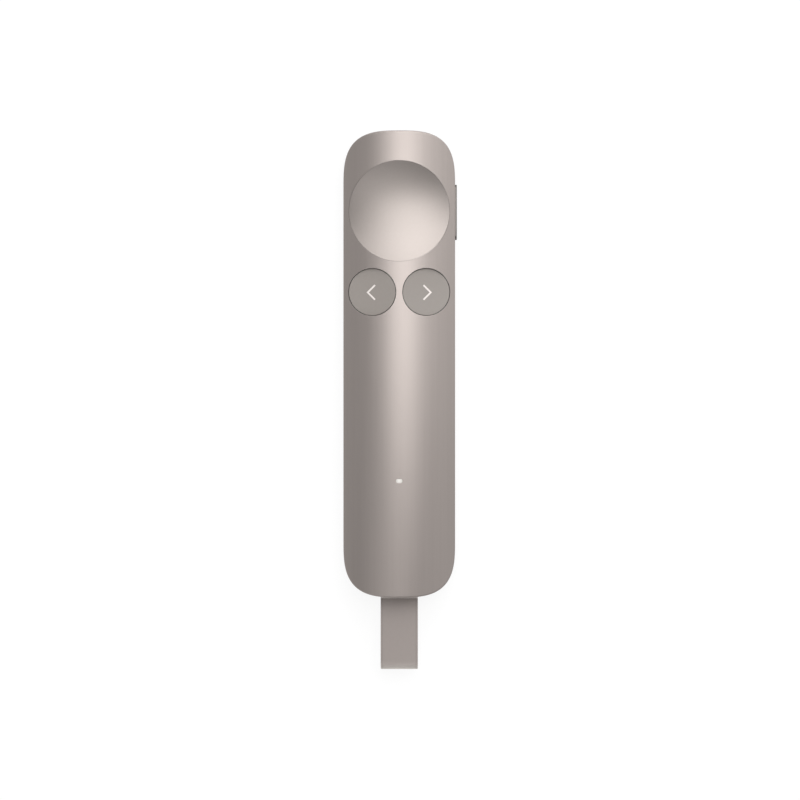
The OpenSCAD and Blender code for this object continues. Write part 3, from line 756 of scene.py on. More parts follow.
def snap_bars(name, back, gap):
    """A bar at each snap: its bead, grown by a gap, closed by the outline of its back."""
    out = snap_face + bead_depth + gap
    base, tip = bead_base + gap, bead_tip + gap
    bead = [(snap_face, snap_height - base), (out, snap_height - tip),
            (out, snap_height + tip), (snap_face, snap_height + base)]
    half = snap_half + gap
    return [prism(name, [(side * x, z) for x, z in back + bead], y - half, y + half)
            for side, y in snap_places]


def snap_tongues():
    """Tongues that rise from the lower shell and carry the beads."""
    rear, front = snap_face - snap_thickness, snap_face + overlap
    back = [(rear, snap_height + bead_base), (rear, snap_root), (front, snap_root),
            (front, lip_top), (snap_face, lip_top)]
    return snap_bars("snap", back, 0)


def snap_grooves():
    """Grooves in the upper shell's wall that the beads catch in."""
    rear = snap_face - overlap
    back = [(rear, snap_height + bead_base + snap_fit), (rear, snap_height - bead_base - snap_fit)]
    return snap_bars("groove", back, snap_fit)


print("snaps:", len(snap_places), "with beads", bead_depth, "mm deep")

# %% Round bars, and the posts that keep the board down
hold_down_width, hold_down_x, hold_down_y = 1.8, 10.8, (-18, -2)
hold_down_low, hold_down_high = 7.3, 10.3


def round_bar(name, width, low, high, edges=(0.0, 0.0), axis="z", centre=(0, 0)):
    return block(name, (width, width), width / 2, low, high, edges, axis, centre)


def hold_down_posts():
    places = [(x, y) for x in (-hold_down_x, hold_down_x) for y in hold_down_y]
    return [round_bar("post", hold_down_width, hold_down_low, hold_down_high, centre=p) for p in places]


# %% [markdown]
# ## The direction of the brush lines
# Brushed metal stretches what it mirrors across its lines, here round the crown. The shader
# needs their direction at each point. A fixed axis would fail where the surface turns down
# to the sides, so it comes from a map whose first axis runs round the body and whose second
# runs along it.

# %% A map for the brush lines
wrap_height, wrap_radius, end_squeeze, map_size = 2.0, 16, 0.6, 100


def brush_map(obj):
    """A map wrapped round the body's length, so that brush lines run along it everywhere."""
    layer = obj.data.uv_layers.new(name="brush")
    co = np.array([v.co for v in obj.data.vertices]) / MM
    u = np.arctan2(co[:, 0], co[:, 2] - wrap_height) * wrap_radius
    flat = np.column_stack([u, co[:, 1] * (1 - end_squeeze * co[:, 2] / half_length)]) / map_size
    loops = np.zeros(len(obj.data.loops), int)
    obj.data.loops.foreach_get("vertex_index", loops)
    layer.data.foreach_set("uv", flat[loops].ravel())


# %% The openings in the face
pad_sides, key_sides = 180, 96
fine_mouth_edge, key_mouth_edge = 0.02, 0.03
light_size, light_corner, light_gap = (1.74, 1.14), 0.5, 0.02
light_loop = round_outline(light_size, light_corner, -light_gap, 6) + np.array(light_centre)
step_lengths = np.hypot(*(light_loop - np.roll(light_loop, 1, axis=0)).T)
light_loop = light_loop[step_lengths > 1e-4]
face_openings = [(circle_loop(pad_centre, pad_radius + cap_gap, pad_sides), fine_mouth_edge)]
for side in (1, -1):
    key_place = (side * key_centre[0], key_centre[1])
    face_openings.append((circle_loop(key_place, key_radius + cap_gap, key_sides), key_mouth_edge))
face_openings.append((light_loop, fine_mouth_edge))
print("openings in the face:", len(face_openings))

# %% The upper shell
seam_edge = 0.08
lap_inset, lap_top = 0.6, 5.1
crown_edge, crown_spacing = 0.3, 0.8
top_rim = [(0, top_low.z + seam_edge), (seam_edge, top_low.z), (lap_inset, top_low.z),
           (lap_inset, lap_top), (wall, lap_top)]
top_parts = shell_parts(crown, 1, top_rim, crown_edge, face_openings, crown_spacing)
top = new_object("body_top", new_mesh("body_top", *top_parts))
window_cutter = flared_cutter("window_cutter", window_size, window_corner, (0, laser_axis), "front")
combine(top, cutters() + [window_cutter] + snap_grooves(), "DIFFERENCE")
combine(top, hold_down_posts(), "UNION")
brush_map(top)
finish_piece(top, body_metal, "housing", ["top_shell"])

# %% The lower shell, whose lip stands inside the upper one
lip_inset, lap_height = 0.68, 0.6
belly_edge, belly_spacing = 0.5, 1.0
bottom_top = top_low.z - seam_gap
rim_height = bottom_top + seam_gap / 2 + lap_height
bottom_rim = [(0, bottom_top - seam_edge), (seam_edge, bottom_top), (lip_inset, bottom_top),
              (lip_inset, rim_height), (wall, rim_height)]
bottom_parts = shell_parts(belly, -1, bottom_rim, belly_edge, [], belly_spacing)
bottom = new_object("body_base", new_mesh("body_base", *bottom_parts))
combine(bottom, cutters(), "DIFFERENCE")
combine(bottom, snap_tongues(), "UNION")
finish_piece(bottom, base_plastic, "housing", ["bottom_shell"])

# %% [markdown]
# ## The pad and the round keys
# These are turned pieces whose upper face isn't flat: the pad is a saddle, hollow along the
# body and round across it, and the keys are slightly hollow discs that lean with the crown.
# They could be modelled as flat discs and bent, but then the rims would lose their round plan.
# A Geometry Nodes tree turns a profile round an upright axis and lifts each point by a rule
# with three inputs: how much the face rises fore and aft, how much it falls at the sides, and
# how much it leans. Each profile point says how far it follows that rule.

# %% Helpers for Geometry Nodes trees
def geometry_tree(name, inputs):
    """An empty tree with a geometry input and output, and more inputs {name: type}."""
    tree = bpy.data.node_groups.new(name, "GeometryNodeTree")
    tree.interface.new_socket("Geometry", in_out="INPUT", socket_type="NodeSocketGeometry")
    for label, kind in inputs.items():
        tree.interface.new_socket(label, in_out="INPUT", socket_type="NodeSocket" + kind)
    tree.interface.new_socket("Geometry", in_out="OUTPUT", socket_type="NodeSocketGeometry")
    tree.nodes.new("NodeGroupInput")
    tree.nodes.new("NodeGroupOutput")
    return tree


def close_tree(tree, geometry):
    """Ends a tree: instances become real, and the Material input is set on them."""
    taken, given = ends(tree)
    real = add(tree, "GeometryNodeRealizeInstances", {"Geometry": geometry}).outputs[0]
    dressed = add(tree, "GeometryNodeSetMaterial", {"Geometry": real, "Material": taken["Material"]})
    tree.links.new(dressed.outputs[0], given[0])
    print(tree.name, "has", len(tree.nodes), "nodes")


def run_tree(name, mesh, tree, **inputs):
    """The result of a tree on a mesh, as a plain object with its own mesh."""
    obj = new_object(name, mesh)
    modifier = obj.modifiers.new(name, "NODES")
    modifier.node_group = tree
    for item in tree.interface.items_tree:
        if item.in_out == "INPUT" and item.name in inputs:
            modifier[item.identifier] = inputs[item.name]
    settle(obj)
    with editing(obj.data) as bm:
        bmesh.ops.recalc_face_normals(bm, faces=bm.faces)
    return obj


# %% The tree that turns a profile: each column of a grid is one copy of it
turning = geometry_tree("turned_piece", {"Sides": "Int", "Reach": "Float", "Rise": "Float", "Fall": "Float",
                                         "Lean": "Float", "Centre": "Vector", "Material": "Material"})
taken = ends(turning)[0]
profile_size = add(turning, "GeometryNodeAttributeDomainSize", {"Geometry": taken["Geometry"]})
row_count = profile_size.outputs["Point Count"]
column_count = maths(turning, "ADD", taken["Sides"], 1.0)
sheet = add(turning, "GeometryNodeMeshGrid", {"Vertices X": column_count, "Vertices Y": row_count})
index = add(turning, "GeometryNodeInputIndex").outputs[0]
row = maths(turning, "MODULO", index, row_count)
column = maths(turning, "FLOOR", maths(turning, "DIVIDE", index, row_count))
turn = product(turning, maths(turning, "DIVIDE", column, taken["Sides"]), 2 * math.pi)
looked_up = {}
for label in ("radius", "height", "follow"):
    attribute = add(turning, "GeometryNodeInputNamedAttribute", {"Name": label}, data_type="FLOAT")
    sockets = {"Geometry": taken["Geometry"], "Value": attribute.outputs["Attribute"], "Index": row}
    looked_up[label] = add(turning, "GeometryNodeSampleIndex", sockets, data_type="FLOAT").outputs[0]

# %% The rule that lifts its points
x = product(turning, looked_up["radius"], maths(turning, "COSINE", turn))
y = product(turning, looked_up["radius"], maths(turning, "SINE", turn))
share_x = maths(turning, "DIVIDE", x, taken["Reach"])
share_y = maths(turning, "DIVIDE", y, taken["Reach"])
rise = product(turning, share_y, share_y, taken["Rise"])
fall = product(turning, share_x, share_x, taken["Fall"])
lean = product(turning, share_x, taken["Lean"])
rule = maths(turning, "ADD", maths(turning, "SUBTRACT", rise, fall), lean)
z = maths(turning, "MULTIPLY_ADD", rule, looked_up["follow"], looked_up["height"])
point = add(turning, "ShaderNodeCombineXYZ", {"X": x, "Y": y, "Z": z}).outputs[0]
placed = vector_maths(turning, "ADD", point, taken["Centre"])
lifted = add(turning, "GeometryNodeSetPosition", {"Geometry": sheet.outputs["Mesh"], "Position": placed})
closed = add(turning, "GeometryNodeMergeByDistance", {"Geometry": lifted.outputs[0], "Distance": 1e-6})
close_tree(turning, closed.outputs[0])


# %% A cap: a face with a rounded rim, a skirt and a hollow
face_margin, foot_edge = 0.08, 0.1
catch_gap, catch_corner = 0.1, 0.05


def cap_profile(radius, edge, face_height, skirt, skin, inner_radius, steps):
    """Points of (radius, height, follow) for a cap, from the middle of its face round to below it."""
    face = [(r, face_height, 1.0) for r in np.linspace(0, radius - edge - face_margin, steps)]
    rim = [(radius - inset, face_height - drop, 1.0) for inset, drop in edge_steps(edge, 6)[::-1]]
    foot = [(radius, skirt + foot_edge, 0.0), (radius - foot_edge, skirt, 0.0), (inner_radius, skirt, 0.0)]
    under = [(r, face_height - skin, 1.0) for r in np.linspace(inner_radius, 0, max(steps // 2, 6))]
    return face + rim + foot + under


def cap(name, profile, material, centre, reach, rise, fall, lean, sides):
    """A profile turned into a cap, whose face rises, falls and leans across its reach."""
    mesh = bpy.data.meshes.new(name + "_profile")
    count = len(profile)
    mesh.from_pydata([(0, 0, 0)] * count, [(i, i + 1) for i in range(count - 1)], [])
    for k, (label, unit) in enumerate([("radius", MM), ("height", MM), ("follow", 1.0)]):
        layer = mesh.attributes.new(label, "FLOAT", "POINT")
        layer.data.foreach_set("value", np.array([p[k] for p in profile], np.float32) * unit)
    place = (centre[0] * MM, centre[1] * MM, 0.0)
    return run_tree(name, mesh, turning, Sides=sides, Reach=reach * MM, Rise=rise * MM,
                    Fall=fall * MM, Lean=lean * MM, Centre=place, Material=material)


def catches(place, offset, size, thickness):
    """Two tabs below the crown, one behind and one before a cap, that keep it from falling out."""
    top = float(crown(abs(place[0]) + size[0] / 2, 0, wall)) - catch_gap
    return [block("catch", size, catch_corner, top - thickness, top,
                  centre=(place[0], place[1] + end * offset)) for end in (-1, 1)]


# %% The dished pad
pad_dip = 2.6
pad_grow, pad_edge, pad_skin, pad_wall = 0.07, 0.03, 1.2, 1.8
pad_opening = pad_radius + cap_gap
pad_floor = body_height - pad_dip
pad_fall = pad_floor - float(crown(pad_opening, 0))
pad_profile = cap_profile(pad_radius + pad_grow, pad_edge, pad_floor, pad_low.z, pad_skin,
                          pad_opening - pad_wall, 30)
pad = cap("thumb_pad", pad_profile, pad_metal, pad_centre, pad_opening, pad_dip, pad_fall, 0.0, pad_sides)
print("the pad falls", round(pad_fall, 2), "mm to its sides")

# %% Its rib, post, catches and the relief over the laser
stem_top = 9.4
pad_post_width = 3.0
rib_low, rib_half, rib_thickness, rib_least = 10.2, 12.7, 0.8, 0.1
pad_catch_size, pad_catch_thickness = (8.0, 2.4), 1.0
relief_width, relief_rear, relief_front = 6.1, 52.5, 63.0
rib_y = np.linspace(-rib_half, rib_half, 41)
rib_top = pad_floor + pad_dip * (rib_y / pad_opening) ** 2 - pad_skin / 2
rib_top = np.maximum(rib_top, rib_low + rib_least)
rib = [(y + pad_centre[1], rib_low) for y in rib_y]
rib += [(y + pad_centre[1], z) for y, z in zip(rib_y[::-1], rib_top[::-1])]
below = [prism("rib", rib, -rib_thickness / 2, rib_thickness / 2, "x")]
below += [round_bar("post", pad_post_width, stem_top, pad_floor - pad_skin / 2, centre=pad_centre)]
below += catches((0, pad_centre[1]), pad_radius, pad_catch_size, pad_catch_thickness)
combine(pad, below, "UNION")
relief = round_bar("relief", relief_width, relief_rear, relief_front, axis="y", centre=(0, laser_axis))
combine(pad, [relief], "DIFFERENCE")
brush_map(pad)
finish_piece(pad, pad_metal, "pointer_pad", ["pointer_pad"])

# %% The two round keys
key_dish, key_proud, key_lower = 0.2, 0.25, 0.06
key_edge, key_skin, key_wall, key_post_width = 0.05, 1.3, 1.2, 2.6
key_catch_size, key_catch_thickness = (4.0, 1.4), 0.8
key_opening = key_radius + cap_gap
key_inner = float(crown(key_centre[0] - key_radius - cap_gap, 0))
key_outer = float(crown(key_centre[0] + key_radius + cap_gap, 0))
key_face = (key_inner + key_outer) / 2 + key_proud
key_lean = (key_outer - key_inner) / 2
key_profile = cap_profile(key_radius - key_lower, key_edge, key_face - key_dish, key_low.z, key_skin,
                          key_radius - key_wall, 12)
round_keys = {"next_key": 1, "previous_key": -1}
for body, side in round_keys.items():
    place = (side * key_centre[0], key_centre[1])
    key = cap(body + "_cap", key_profile, key_plastic, place, key_opening, key_dish, -key_dish,
              side * key_lean, key_sides)
    below = [round_bar("post", key_post_width, stem_top, key_face - key_skin / 2, centre=place)]
    below += catches(place, key_radius, key_catch_size, key_catch_thickness)
    combine(key, below, "UNION")
    finish_piece(key, key_plastic, body, [body])

# %% [markdown]
# ## The arrow marks
# Each round key carries a printed arrow head. It could be a colour in the key's finish, but
# a piece of its own has a crisp edge from any distance. A print is thin but real, so it is a
# closed piece whose face stands a few hundredths of a millimetre above the leaning key, and
# it moves with the key.

# %% Arrow heads
mark_run, mark_stroke = 2.04, 0.46
mark_shift, mark_drop = 0.33, 0.1
mark_sunk, mark_raised = -0.05, 0.03


def key_surface(x, y, side):
    """Height of a key's face at a place in the row frame."""
    u = (x - side * key_centre[0]) / key_opening
    v = (y - key_centre[1]) / key_opening
    return key_face - key_dish + key_dish * (u * u + v * v) + side * key_lean * u


def arrow_head(side):
    """The outline of an arrow head that points outwards, cut into short lengths to follow the face."""
    mitre, square_end = mark_stroke / math.sqrt(2), mark_stroke / math.sqrt(8)
    knee = (mark_run + square_end - mitre) / 2
    back = knee - mark_run
    corners = [(knee + mitre, 0), (back + square_end, mark_run + square_end),
               (back - square_end, mark_run - square_end), (knee - mitre, 0),
               (back - square_end, square_end - mark_run), (back + square_end, -mark_run - square_end)]
    points = []
    for a, b in zip(corners, corners[1:] + corners[:1]):
        points += [np.array(a) + (np.array(b) - np.array(a)) * s for s in np.linspace(0, 1, 7)[:-1]]
    flat = np.array(points) * (side, 1) + (side * (key_centre[0] + mark_shift), key_centre[1] - mark_drop)
    return flat if side > 0 else flat[::-1]


for body, side in round_keys.items():
    flat = arrow_head(side)
    face = key_surface(flat[:, 0], flat[:, 1], side)
    rings = [at_height(flat, face + lift) for lift in (mark_sunk, mark_raised)]
    arrow = new_object(body + "_arrow", stack(body + "_arrow", rings))
    finish_piece(arrow, mark_paint, body)

# %% [markdown]
# ## The side key and the status light
# The side key is a bar with round ends that slides in a slot, with a flange behind the wall
# that keeps it in. The light is a clear pipe over an LED. Both are stacks of rings, joined to
# their flanges. The pipe's tip glows. Real light through clear plastic would take many samples
# for so small a spot, so its finish adds a little emission that fades from the middle.

# %% The side key
flange_thickness, flange_corner = 1.1, 0.05
nub_size, nub_corner, nub_height, nub_root = (2.2, 0.8), 0.03, 5.45, 0.5
bar_edge = 0.2
flange_back = half_width - wall - cap_gap - flange_thickness
flange_size = (side_high.y - side_low.y, bar_height)
bar = block("side_bar", (bar_length, bar_height), bar_height / 2, flange_back, side_high.x,
            (0, bar_edge), "x", side_centre)
flange = block("side_flange", flange_size, flange_corner, flange_back, flange_back + flange_thickness,
               axis="x", centre=side_centre)
nub = block("side_nub", nub_size, nub_corner, side_low.x, flange_back + nub_root,
            axis="x", centre=(side_centre[0], nub_height))
combine(bar, [flange, nub], "UNION")
brush_map(bar)
finish_piece(bar, painted_shade_side_metal, "side_key", ["side_key"])

# %% A finish that glows, most at its middle
glow_reach, glow_strength, glow_left = 0.9, 0.31, 0.1
glow_rim, glow_core = (0.3, 0.3, 0.29, 1), (1, 0.99, 0.96, 1)
glow = finish("glow", (170, 166, 161), (174, 170, 165), 0.45, relief=0.001)
tree, shader, place = parts_of(glow)
offset = vector_maths(tree, "SUBTRACT", place, (0, light_centre[1] * MM, body_height * MM))
fade = remap(tree, vector_maths(tree, "LENGTH", offset), 0.0, glow_reach * MM, 1.0, glow_left)
tree.links.new(blend_tones(tree, fade, glow_rim, glow_core), shader.inputs["Emission Color"])
shader.inputs["Emission Strength"].default_value = glow_strength
print("nodes in the glow:", len(tree.nodes))

# %% The light pipe
pipe_edge, pipe_sunk = 0.04, 0.01
under_crown = body_height - wall
pipe_flange_size, pipe_flange_corner = (3.4, 2.8), 1.4
pipe_flange_low, pipe_flange_high = under_crown - 0.85, under_crown - 0.15
pipe_foot = node_box("status_light_pipe")[0].z
pipe = block("light_pipe", light_size, light_corner, pipe_foot, body_height - pipe_sunk,
             (0, pipe_edge), "z", light_centre)
pipe_flange = block("pipe_flange", pipe_flange_size, pipe_flange_corner, pipe_flange_low,
                    pipe_flange_high, centre=light_centre)
combine(pipe, [pipe_flange], "UNION")
finish_piece(pipe, glow, "housing", ["status_light_pipe"])

# %% [markdown]
# ## The pull tab and the receiver
# The tab is a strap of soft elastomer, folded back on itself. A thickened sheet would have
# sharp edges. A Geometry Nodes tree sweeps its rounded section along the folded path instead,
# so the long edges stay round all the way. Its root is moulded into the receiver's body,
# which closes the bay with a small end plate.

# %% The tree that sweeps a rounded section
sweeping = geometry_tree("swept_strap", {"Width": "Float", "Thickness": "Float", "Edge": "Float",
                                         "Material": "Material"})
taken = ends(sweeping)[0]
path = add(sweeping, "GeometryNodeMeshToCurve", {"Mesh": taken["Geometry"]})
section = add(sweeping, "GeometryNodeCurvePrimitiveQuadrilateral",
              {"Width": taken["Width"], "Height": taken["Thickness"]})
rounded = add(sweeping, "GeometryNodeFilletCurve",
              {"Curve": section.outputs[0], "Count": 5, "Radius": taken["Edge"]}, mode="POLY")
strap = add(sweeping, "GeometryNodeCurveToMesh",
            {"Curve": path.outputs[0], "Profile Curve": rounded.outputs[0], "Fill Caps": True})
close_tree(sweeping, strap.outputs[0])

# %% The folded strap
tab_low, tab_high = node_box("pull_tab")
tab_width = tab_high.x - tab_low.x
strap_thickness, strap_edge = 0.95, 0.25
plate_face = receiver_low.y
fold_radius = (tab_high.z - tab_low.z) / 2 - strap_thickness / 2
fold_centre = tab_low.y + fold_radius + strap_thickness / 2
stations = [plate_face + 0.3] + list(np.linspace(plate_face - 0.5, fold_centre + 0.3, 16))
run = [(y, fold_radius) for y in stations]
fold = [(fold_centre - fold_radius * math.sin(a), fold_radius * math.cos(a))
        for a in np.linspace(0, math.pi, 25)]
folded = run + fold + [(y, -z) for y, z in run[::-1]]
links = [(i, i + 1) for i in range(len(folded) - 1)]
mesh = bpy.data.meshes.new("tab_path")
mesh.from_pydata([(0, y * MM, (dock_axis + z) * MM) for y, z in folded], links, [])
tab = run_tree("tab_strap", mesh, sweeping, Width=tab_width * MM, Thickness=strap_thickness * MM,
               Edge=strap_edge * MM, Material=tab_rubber)
print("strap spans", in_short(d / MM for d in tab.dimensions), "mm")

# %% Painted highlight on the bend, and a painted shade line along each long edge
bend_highlight_reach, bend_highlight_power = 4, 5.0
line_inset, line_outer, line_core, edge_shade_strength = 0.5, 0.2, 0.05, 0.25
tree, shader, place = parts_of(tab_rubber)
apart = add(tree, "ShaderNodeSeparateXYZ", {"Vector": place}).outputs
# Painted highlight: the strap is painted paler towards the end of its bend, standing in for the light that
# the curved end catches.
painted_bend_highlight = remap(tree, apart["Y"], (tab_low.y + bend_highlight_reach) * MM, tab_low.y * MM)
paint_over(tab_rubber, maths(tree, "POWER", painted_bend_highlight, bend_highlight_power), (198, 192, 186))
# Painted shade: a darker line is painted just inside each long edge of the strap.
from_middle = maths(tree, "ABSOLUTE", apart["X"])
from_line = maths(tree, "SUBTRACT", from_middle, (tab_width / 2 - line_inset) * MM)
from_line = maths(tree, "ABSOLUTE", from_line)
painted_edge_shade = remap(tree, from_line, line_outer * MM, line_core * MM, 0.0, edge_shade_strength)
paint_over(tab_rubber, painted_edge_shade, (96, 90, 87))
print("nodes in the tab's finish:", len(tree.nodes))

# %% The root of the tab
root_size, root_corner = (tab_width - 2, 2.4), 0.02
root_depth = 3
root_front = plate_face + root_depth
root = block("tab_root", root_size, root_corner, plate_face - strap_thickness / 2, root_front,
             axis="y", centre=(0, dock_axis))
combine(tab, [root], "UNION")
finish_piece(tab, tab_rubber, "receiver", ["pull_tab"])

# %% The receiver's body and its end plate
receiver_size, plate_size, plate_thickness = (11.6, 5.6), (tab_width, 5.0), 1.0
case_corner, case_overlap = 0.8, 0.3
case_edges, plate_edges = (0.25, 0.3), (0.08, 0)
pocket_start = plate_face - 1
plate_front = plate_face + plate_thickness
receiver = block("receiver_case", receiver_size, case_corner, plate_front, receiver_high.y,
                 case_edges, "y", (0, dock_axis))
plate = block("receiver_plate", plate_size, case_corner, plate_face, plate_front + case_overlap,
              plate_edges, "y", (0, dock_axis))
combine(receiver, [plate], "UNION")
pocket = block("root_pocket", root_size, root_corner, pocket_start, root_front,
               axis="y", centre=(0, dock_axis))
combine(receiver, [pocket], "DIFFERENCE")
finish_piece(receiver, receiver_plastic, "receiver", ["receiver_body"])

# %% [markdown]
# ## Contacts and screws
# The socket's tongue and the plug's liner carry rows of gold contacts, and four small screws
# hold the board. Each could be copied by hand, but a change of pitch would mean placing them
# all again. So a Geometry Nodes tree sets one shape on a row of points.

# %% A tree that repeats one shape on given places
repeating = geometry_tree("repeated_shape", {"Shape": "Object", "Material": "Material"})
taken = ends(repeating)[0]
shape = add(repeating, "GeometryNodeObjectInfo", {"Object": taken["Shape"]}, transform_space="ORIGINAL")
spots = add(repeating, "GeometryNodeMeshToPoints", {"Mesh": taken["Geometry"]})
copies = add(repeating, "GeometryNodeInstanceOnPoints",
             {"Points": spots.outputs[0], "Instance": shape.outputs["Geometry"]})
close_tree(repeating, copies.outputs[0])


def repeat(name, shape, places, material):
    """One mesh that holds a copy of a shape at each place, in millimetres."""
    mesh = bpy.data.meshes.new(name + "_places")
    mesh.from_pydata([tuple(c * MM for c in p) for p in places], [], [])
    obj = run_tree(name, mesh, repeating, Shape=shape, Material=material)
    bpy.data.objects.remove(shape)
    return obj


# %% Contacts of the socket and the plug
contact_pitch, contact_width, contact_half = 0.5, 0.24, 0.03
contact_corner, contact_edge = 0.05, 0.02
contact_count = 12
contact_rows = [(i - (contact_count - 1) / 2) * contact_pitch for i in range(contact_count)]
tongue_tip = node_box("charge_port_tongue")[0].y
# name, body, length of a contact, middle of the row, distance from the axis
for name, body, length, along, offset in (
        ("socket_contacts", "housing", 4.2, tongue_tip + 2.6, 0.35),
        ("plug_contacts", "receiver", 3.4, receiver_high.y + 3.6, 0.55)):
    pin = block(name + "_pin", (contact_width, length), contact_corner, -contact_half, contact_half,
                (contact_edge, contact_edge))
    rows = [(x, along, dock_axis + side * offset) for x in contact_rows for side in (-1, 1)]
    contacts = repeat(name, pin, rows, gold)
    finish_piece(contacts, gold, body)

# %% Screws with a cross recess
screws_low, screws_high = node_box("board_screws")
screw_head, screw_shank, head_height = 1.1, 0.6, 0.5
head_edge, tip_edge, shank_overlap = 0.16, 0.12, 0.1
recess_arm, recess_corner, recess_depth = (1.2, 0.3), 0.04, 0.28
screw_x = screws_high.x - screw_head
screw_rows = (screws_low.y + screw_head, screws_high.y - screw_head)
screw_places = [(sx * screw_x, y, screws_high.z) for sx in (-1, 1) for y in screw_rows]
screw = round_bar("screw_head", 2 * screw_head, -head_height, 0, (0, head_edge))
shank = round_bar("screw_shank", 2 * screw_shank, screws_low.z - screws_high.z,
                  -head_height + shank_overlap, (tip_edge, 0))
combine(screw, [shank], "UNION")
arms = [block("recess", size, recess_corner, -recess_depth, 0.3) for size in (recess_arm, recess_arm[::-1])]
combine(screw, arms, "DIFFERENCE")
screws = repeat("board_screws_dressed", screw, screw_places, steel)
finish_piece(screws, steel, "housing", ["board_screws"])

# %% [markdown]
# ## The parts inside
# The CAD solids of the inner parts keep their shape. Each gets its own finish. On a real board
# the copper tracks lie under green solder mask and show as lines of a paler green. Hundreds
# of thin strips would be heavy for what is only colour, so the finish draws them: lines on a
# fixed pitch, broken up by a coarse cell pattern, so that they read as bundles of tracks.

# %% Solder mask over tracks
bundle_size, track_pitch = 5.5, 0.7
turned_above, drawn_above = 0.5, 0.45
track_edge = (0.35, 0.55)
board_resin = finish("board_resin", (26, 78, 58), (32, 88, 66), 0.4, Coat_Weight=0.3)
tree, shader, place = parts_of(board_resin)
cells = add(tree, "ShaderNodeTexVoronoi", {"Vector": place, "Scale": 1 / (bundle_size * MM)})
chance = add(tree, "ShaderNodeSeparateColor", {"Color": cells.outputs["Color"]}).outputs
apart = add(tree, "ShaderNodeSeparateXYZ", {"Vector": place}).outputs
down, across = [product(tree, apart[axis], 2 * math.pi / (track_pitch * MM)) for axis in "XY"]
turned = maths(tree, "GREATER_THAN", chance[0], turned_above)
phase = add(tree, "ShaderNodeMix", {0: turned, 2: down, 3: across}).outputs[0]
track = remap(tree, maths(tree, "SINE", phase), *track_edge)
drawn = maths(tree, "GREATER_THAN", chance[1], drawn_above)
paint_over(board_resin, product(tree, track, drawn), (62, 122, 82))
print("nodes in the board's finish:", len(tree.nodes))

# %% A finish for each inner part
inner_finishes = {
    "inner_frame": frame_plastic, "receiver_dock": dock_plastic, "main_board": board_resin,
    "processor": chip_black, "motion_sensor": chip_black, "shield_can": steel, "antenna": ceramic,
    "status_led": led_body, "haptic_motor": steel, "laser_module": brass, "laser_window": window_dark,
    "battery": foil, "battery_pad": foam, "battery_connector": stem_ivory,
    "charge_port_shell": steel, "charge_port_tongue": chip_black,
    "receiver_plug_shell": steel, "receiver_plug_core": chip_black,
}
for key_name in ("pointer", "previous", "next", "side"):
    inner_finishes[key_name + "_switch"] = switch_black
    inner_finishes[key_name + "_stem"] = stem_ivory
for name, material in inner_finishes.items():
    piece = nodes[name]
    piece.data.materials.clear()
    piece.data.materials.append(material)
print("inner parts dressed:", len(inner_finishes))
print("replaced:", [n for n in nodes if n not in inner_finishes])

# %% [markdown]
# ## Floor, light and camera
# The clicker lies on a white floor. To the camera the floor is nearly all white light, mixed
# with a little real diffuse white, so the shadow at the object's edge stays. Metal shows what
# it faces, and one even sky would leave the crown flat. So each wall of the surroundings has
# its own brightness, and those at the two ends dim towards the horizon. Six soft lamps hang
# above. The long one gives the bright band on the crown, and the others fill its flanks, its
# ends and the pad.

# %% The floor
floor_height, floor_half = -0.02, 900.0
floor_tone, floor_roughness, emitted_share = (0.97, 0.97, 0.97, 1), 0.9, 0.88
floor_signs = ((-1, -1), (1, -1), (1, 1), (-1, 1))
corners = [(sx * floor_half, sy * floor_half, floor_height) for sx, sy in floor_signs]
floor = new_object("floor", new_mesh("floor", corners, [(0, 1, 2, 3)]))
white = bpy.data.materials.new("floor_white")
white.use_nodes = True
tree = white.node_tree
shader = tree.nodes["Principled BSDF"]
shader.inputs["Base Color"].default_value = floor_tone
shader.inputs["Roughness"].default_value = floor_roughness
light = add(tree, "ShaderNodeEmission", {"Color": (1, 1, 1, 1), "Strength": 1.0}).outputs[0]
ray = add(tree, "ShaderNodeLightPath").outputs
seen = maths(tree, "MAXIMUM", ray["Is Camera Ray"], ray["Is Glossy Ray"])
seen = maths(tree, "MAXIMUM", seen, ray["Is Transmission Ray"])
share = product(tree, seen, emitted_share)
joined = add(tree, "ShaderNodeMixShader", {0: share, 1: shader.outputs[0], 2: light})
tree.links.new(joined.outputs[0], tree.nodes["Material Output"].inputs["Surface"])
floor.data.materials.append(white)
print("floor at", floor_height, "mm")

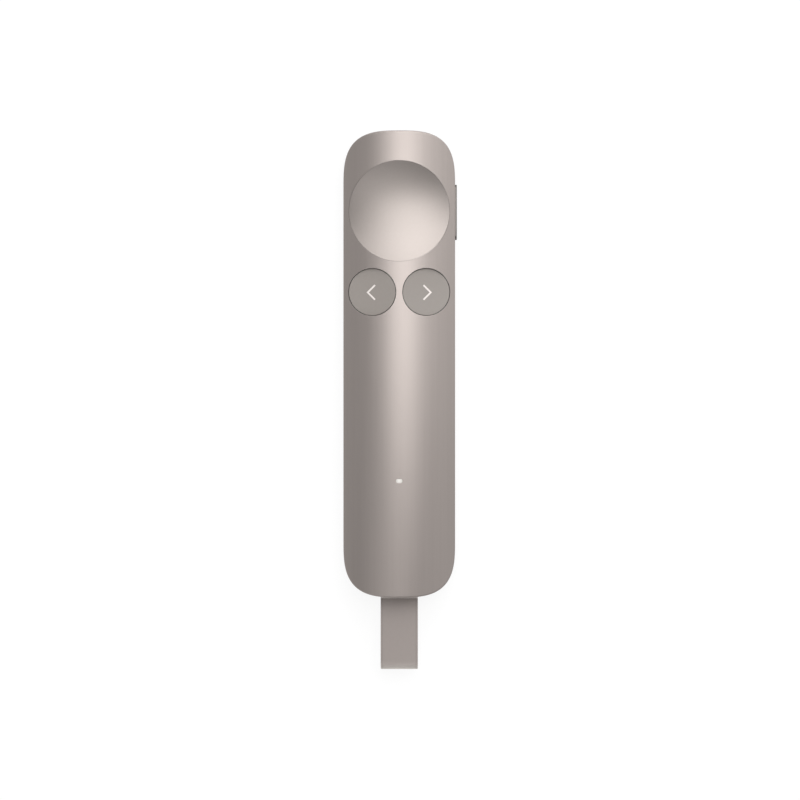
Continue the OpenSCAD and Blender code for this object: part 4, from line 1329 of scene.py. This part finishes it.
# %% The surroundings: soft walls, each with its own brightness
base_light = 0.085
horizon, overhead = 0.05, 0.55
wall_light = {
    # direction, brightness, sharpness, share of it at the horizon
    "right": ((1, 0, 0), 0.7, 1.0, 1.0),
    "left": ((-1, 0, 0), 0.3, 1.0, 1.0),
    "rear left": ((-0.7, -0.7, 0), 0.85, 2.0, 1.0),
    "front": ((0.25, 0.97, 0), 2.5, 1.0, 0.2),
    "rear": ((0, -1, 0), 2.0, 8.0, 0.4),
}
world = bpy.context.scene.world or bpy.data.worlds.new("surroundings")
bpy.context.scene.world = world
world.use_nodes = True
tree = world.node_tree
background = tree.nodes["Background"]
direction = add(tree, "ShaderNodeTexCoord").outputs["Generated"]
upward = add(tree, "ShaderNodeSeparateXYZ", {"Vector": direction}).outputs["Z"]
level = base_light
for towards, brightness, sharpness, at_horizon in wall_light.values():
    facing = maths(tree, "MAXIMUM", vector_maths(tree, "DOT_PRODUCT", direction, towards), 0.0)
    share = maths(tree, "POWER", facing, sharpness)
    lifted = remap(tree, upward, horizon, overhead, at_horizon)
    level = maths(tree, "MULTIPLY_ADD", product(tree, share, lifted), brightness, level)
tint = add(tree, "ShaderNodeCombineColor", {0: level, 1: level, 2: level}).outputs[0]
tree.links.new(tint, background.inputs["Color"])
background.inputs["Strength"].default_value = 1.0
print("walls of light:", list(wall_light))

# %% The soft lamps
def soft_lamp(name, across, along, height, brightness):
    """A flat lamp that faces down, from its extent in millimetres and its brightness (1 is white)."""
    data = bpy.data.lights.new(name, "AREA")
    data.shape = "RECTANGLE"
    data.size, data.size_y = (across[1] - across[0]) * MM, (along[1] - along[0]) * MM
    data.energy = brightness * math.pi * data.size * data.size_y
    lamp = bpy.data.objects.new(name, data)
    lamp.location = (sum(across) / 2 * MM, sum(along) / 2 * MM, height * MM)
    lamp.visible_camera = False
    bpy.context.scene.collection.objects.link(lamp)
    return lamp


soft_lamp("long_lamp", (-60, 140), (-25, 420), 380, 2.45)
soft_lamp("near_lamp", (-50, 140), (-20, 80), 375, 1.5)
soft_lamp("rear_lamp", (-260, 60), (-200, -30), 385, 0.85)
soft_lamp("left_lamp", (-140, -50), (-20, 120), 370, 0.9)
soft_lamp("pad_lamp", (-115, -60), (110, 270), 382, 1.5)
soft_lamp("front_lamp", (120, 320), (80, 240), 390, 1.3)
print("lamps:", len(bpy.data.lights))

# %% The camera looks straight down
view_width, view_centre, focus_height = 224.4, (0.21, -10.1), 12.5
camera_data = bpy.data.cameras.new("camera")
camera_data.lens, camera_data.sensor_width = 300.0, 36.0
camera_data.clip_start, camera_data.clip_end = 0.05, 20.0
camera = bpy.data.objects.new("camera", camera_data)
distance = view_width * camera_data.lens / camera_data.sensor_width
camera.location = [view_centre[0] * MM, view_centre[1] * MM, (focus_height + distance) * MM]
bpy.context.scene.collection.objects.link(camera)
bpy.context.scene.camera = camera
bpy.context.scene.view_settings.view_transform = "Standard"
print("camera distance", round(distance), "mm")
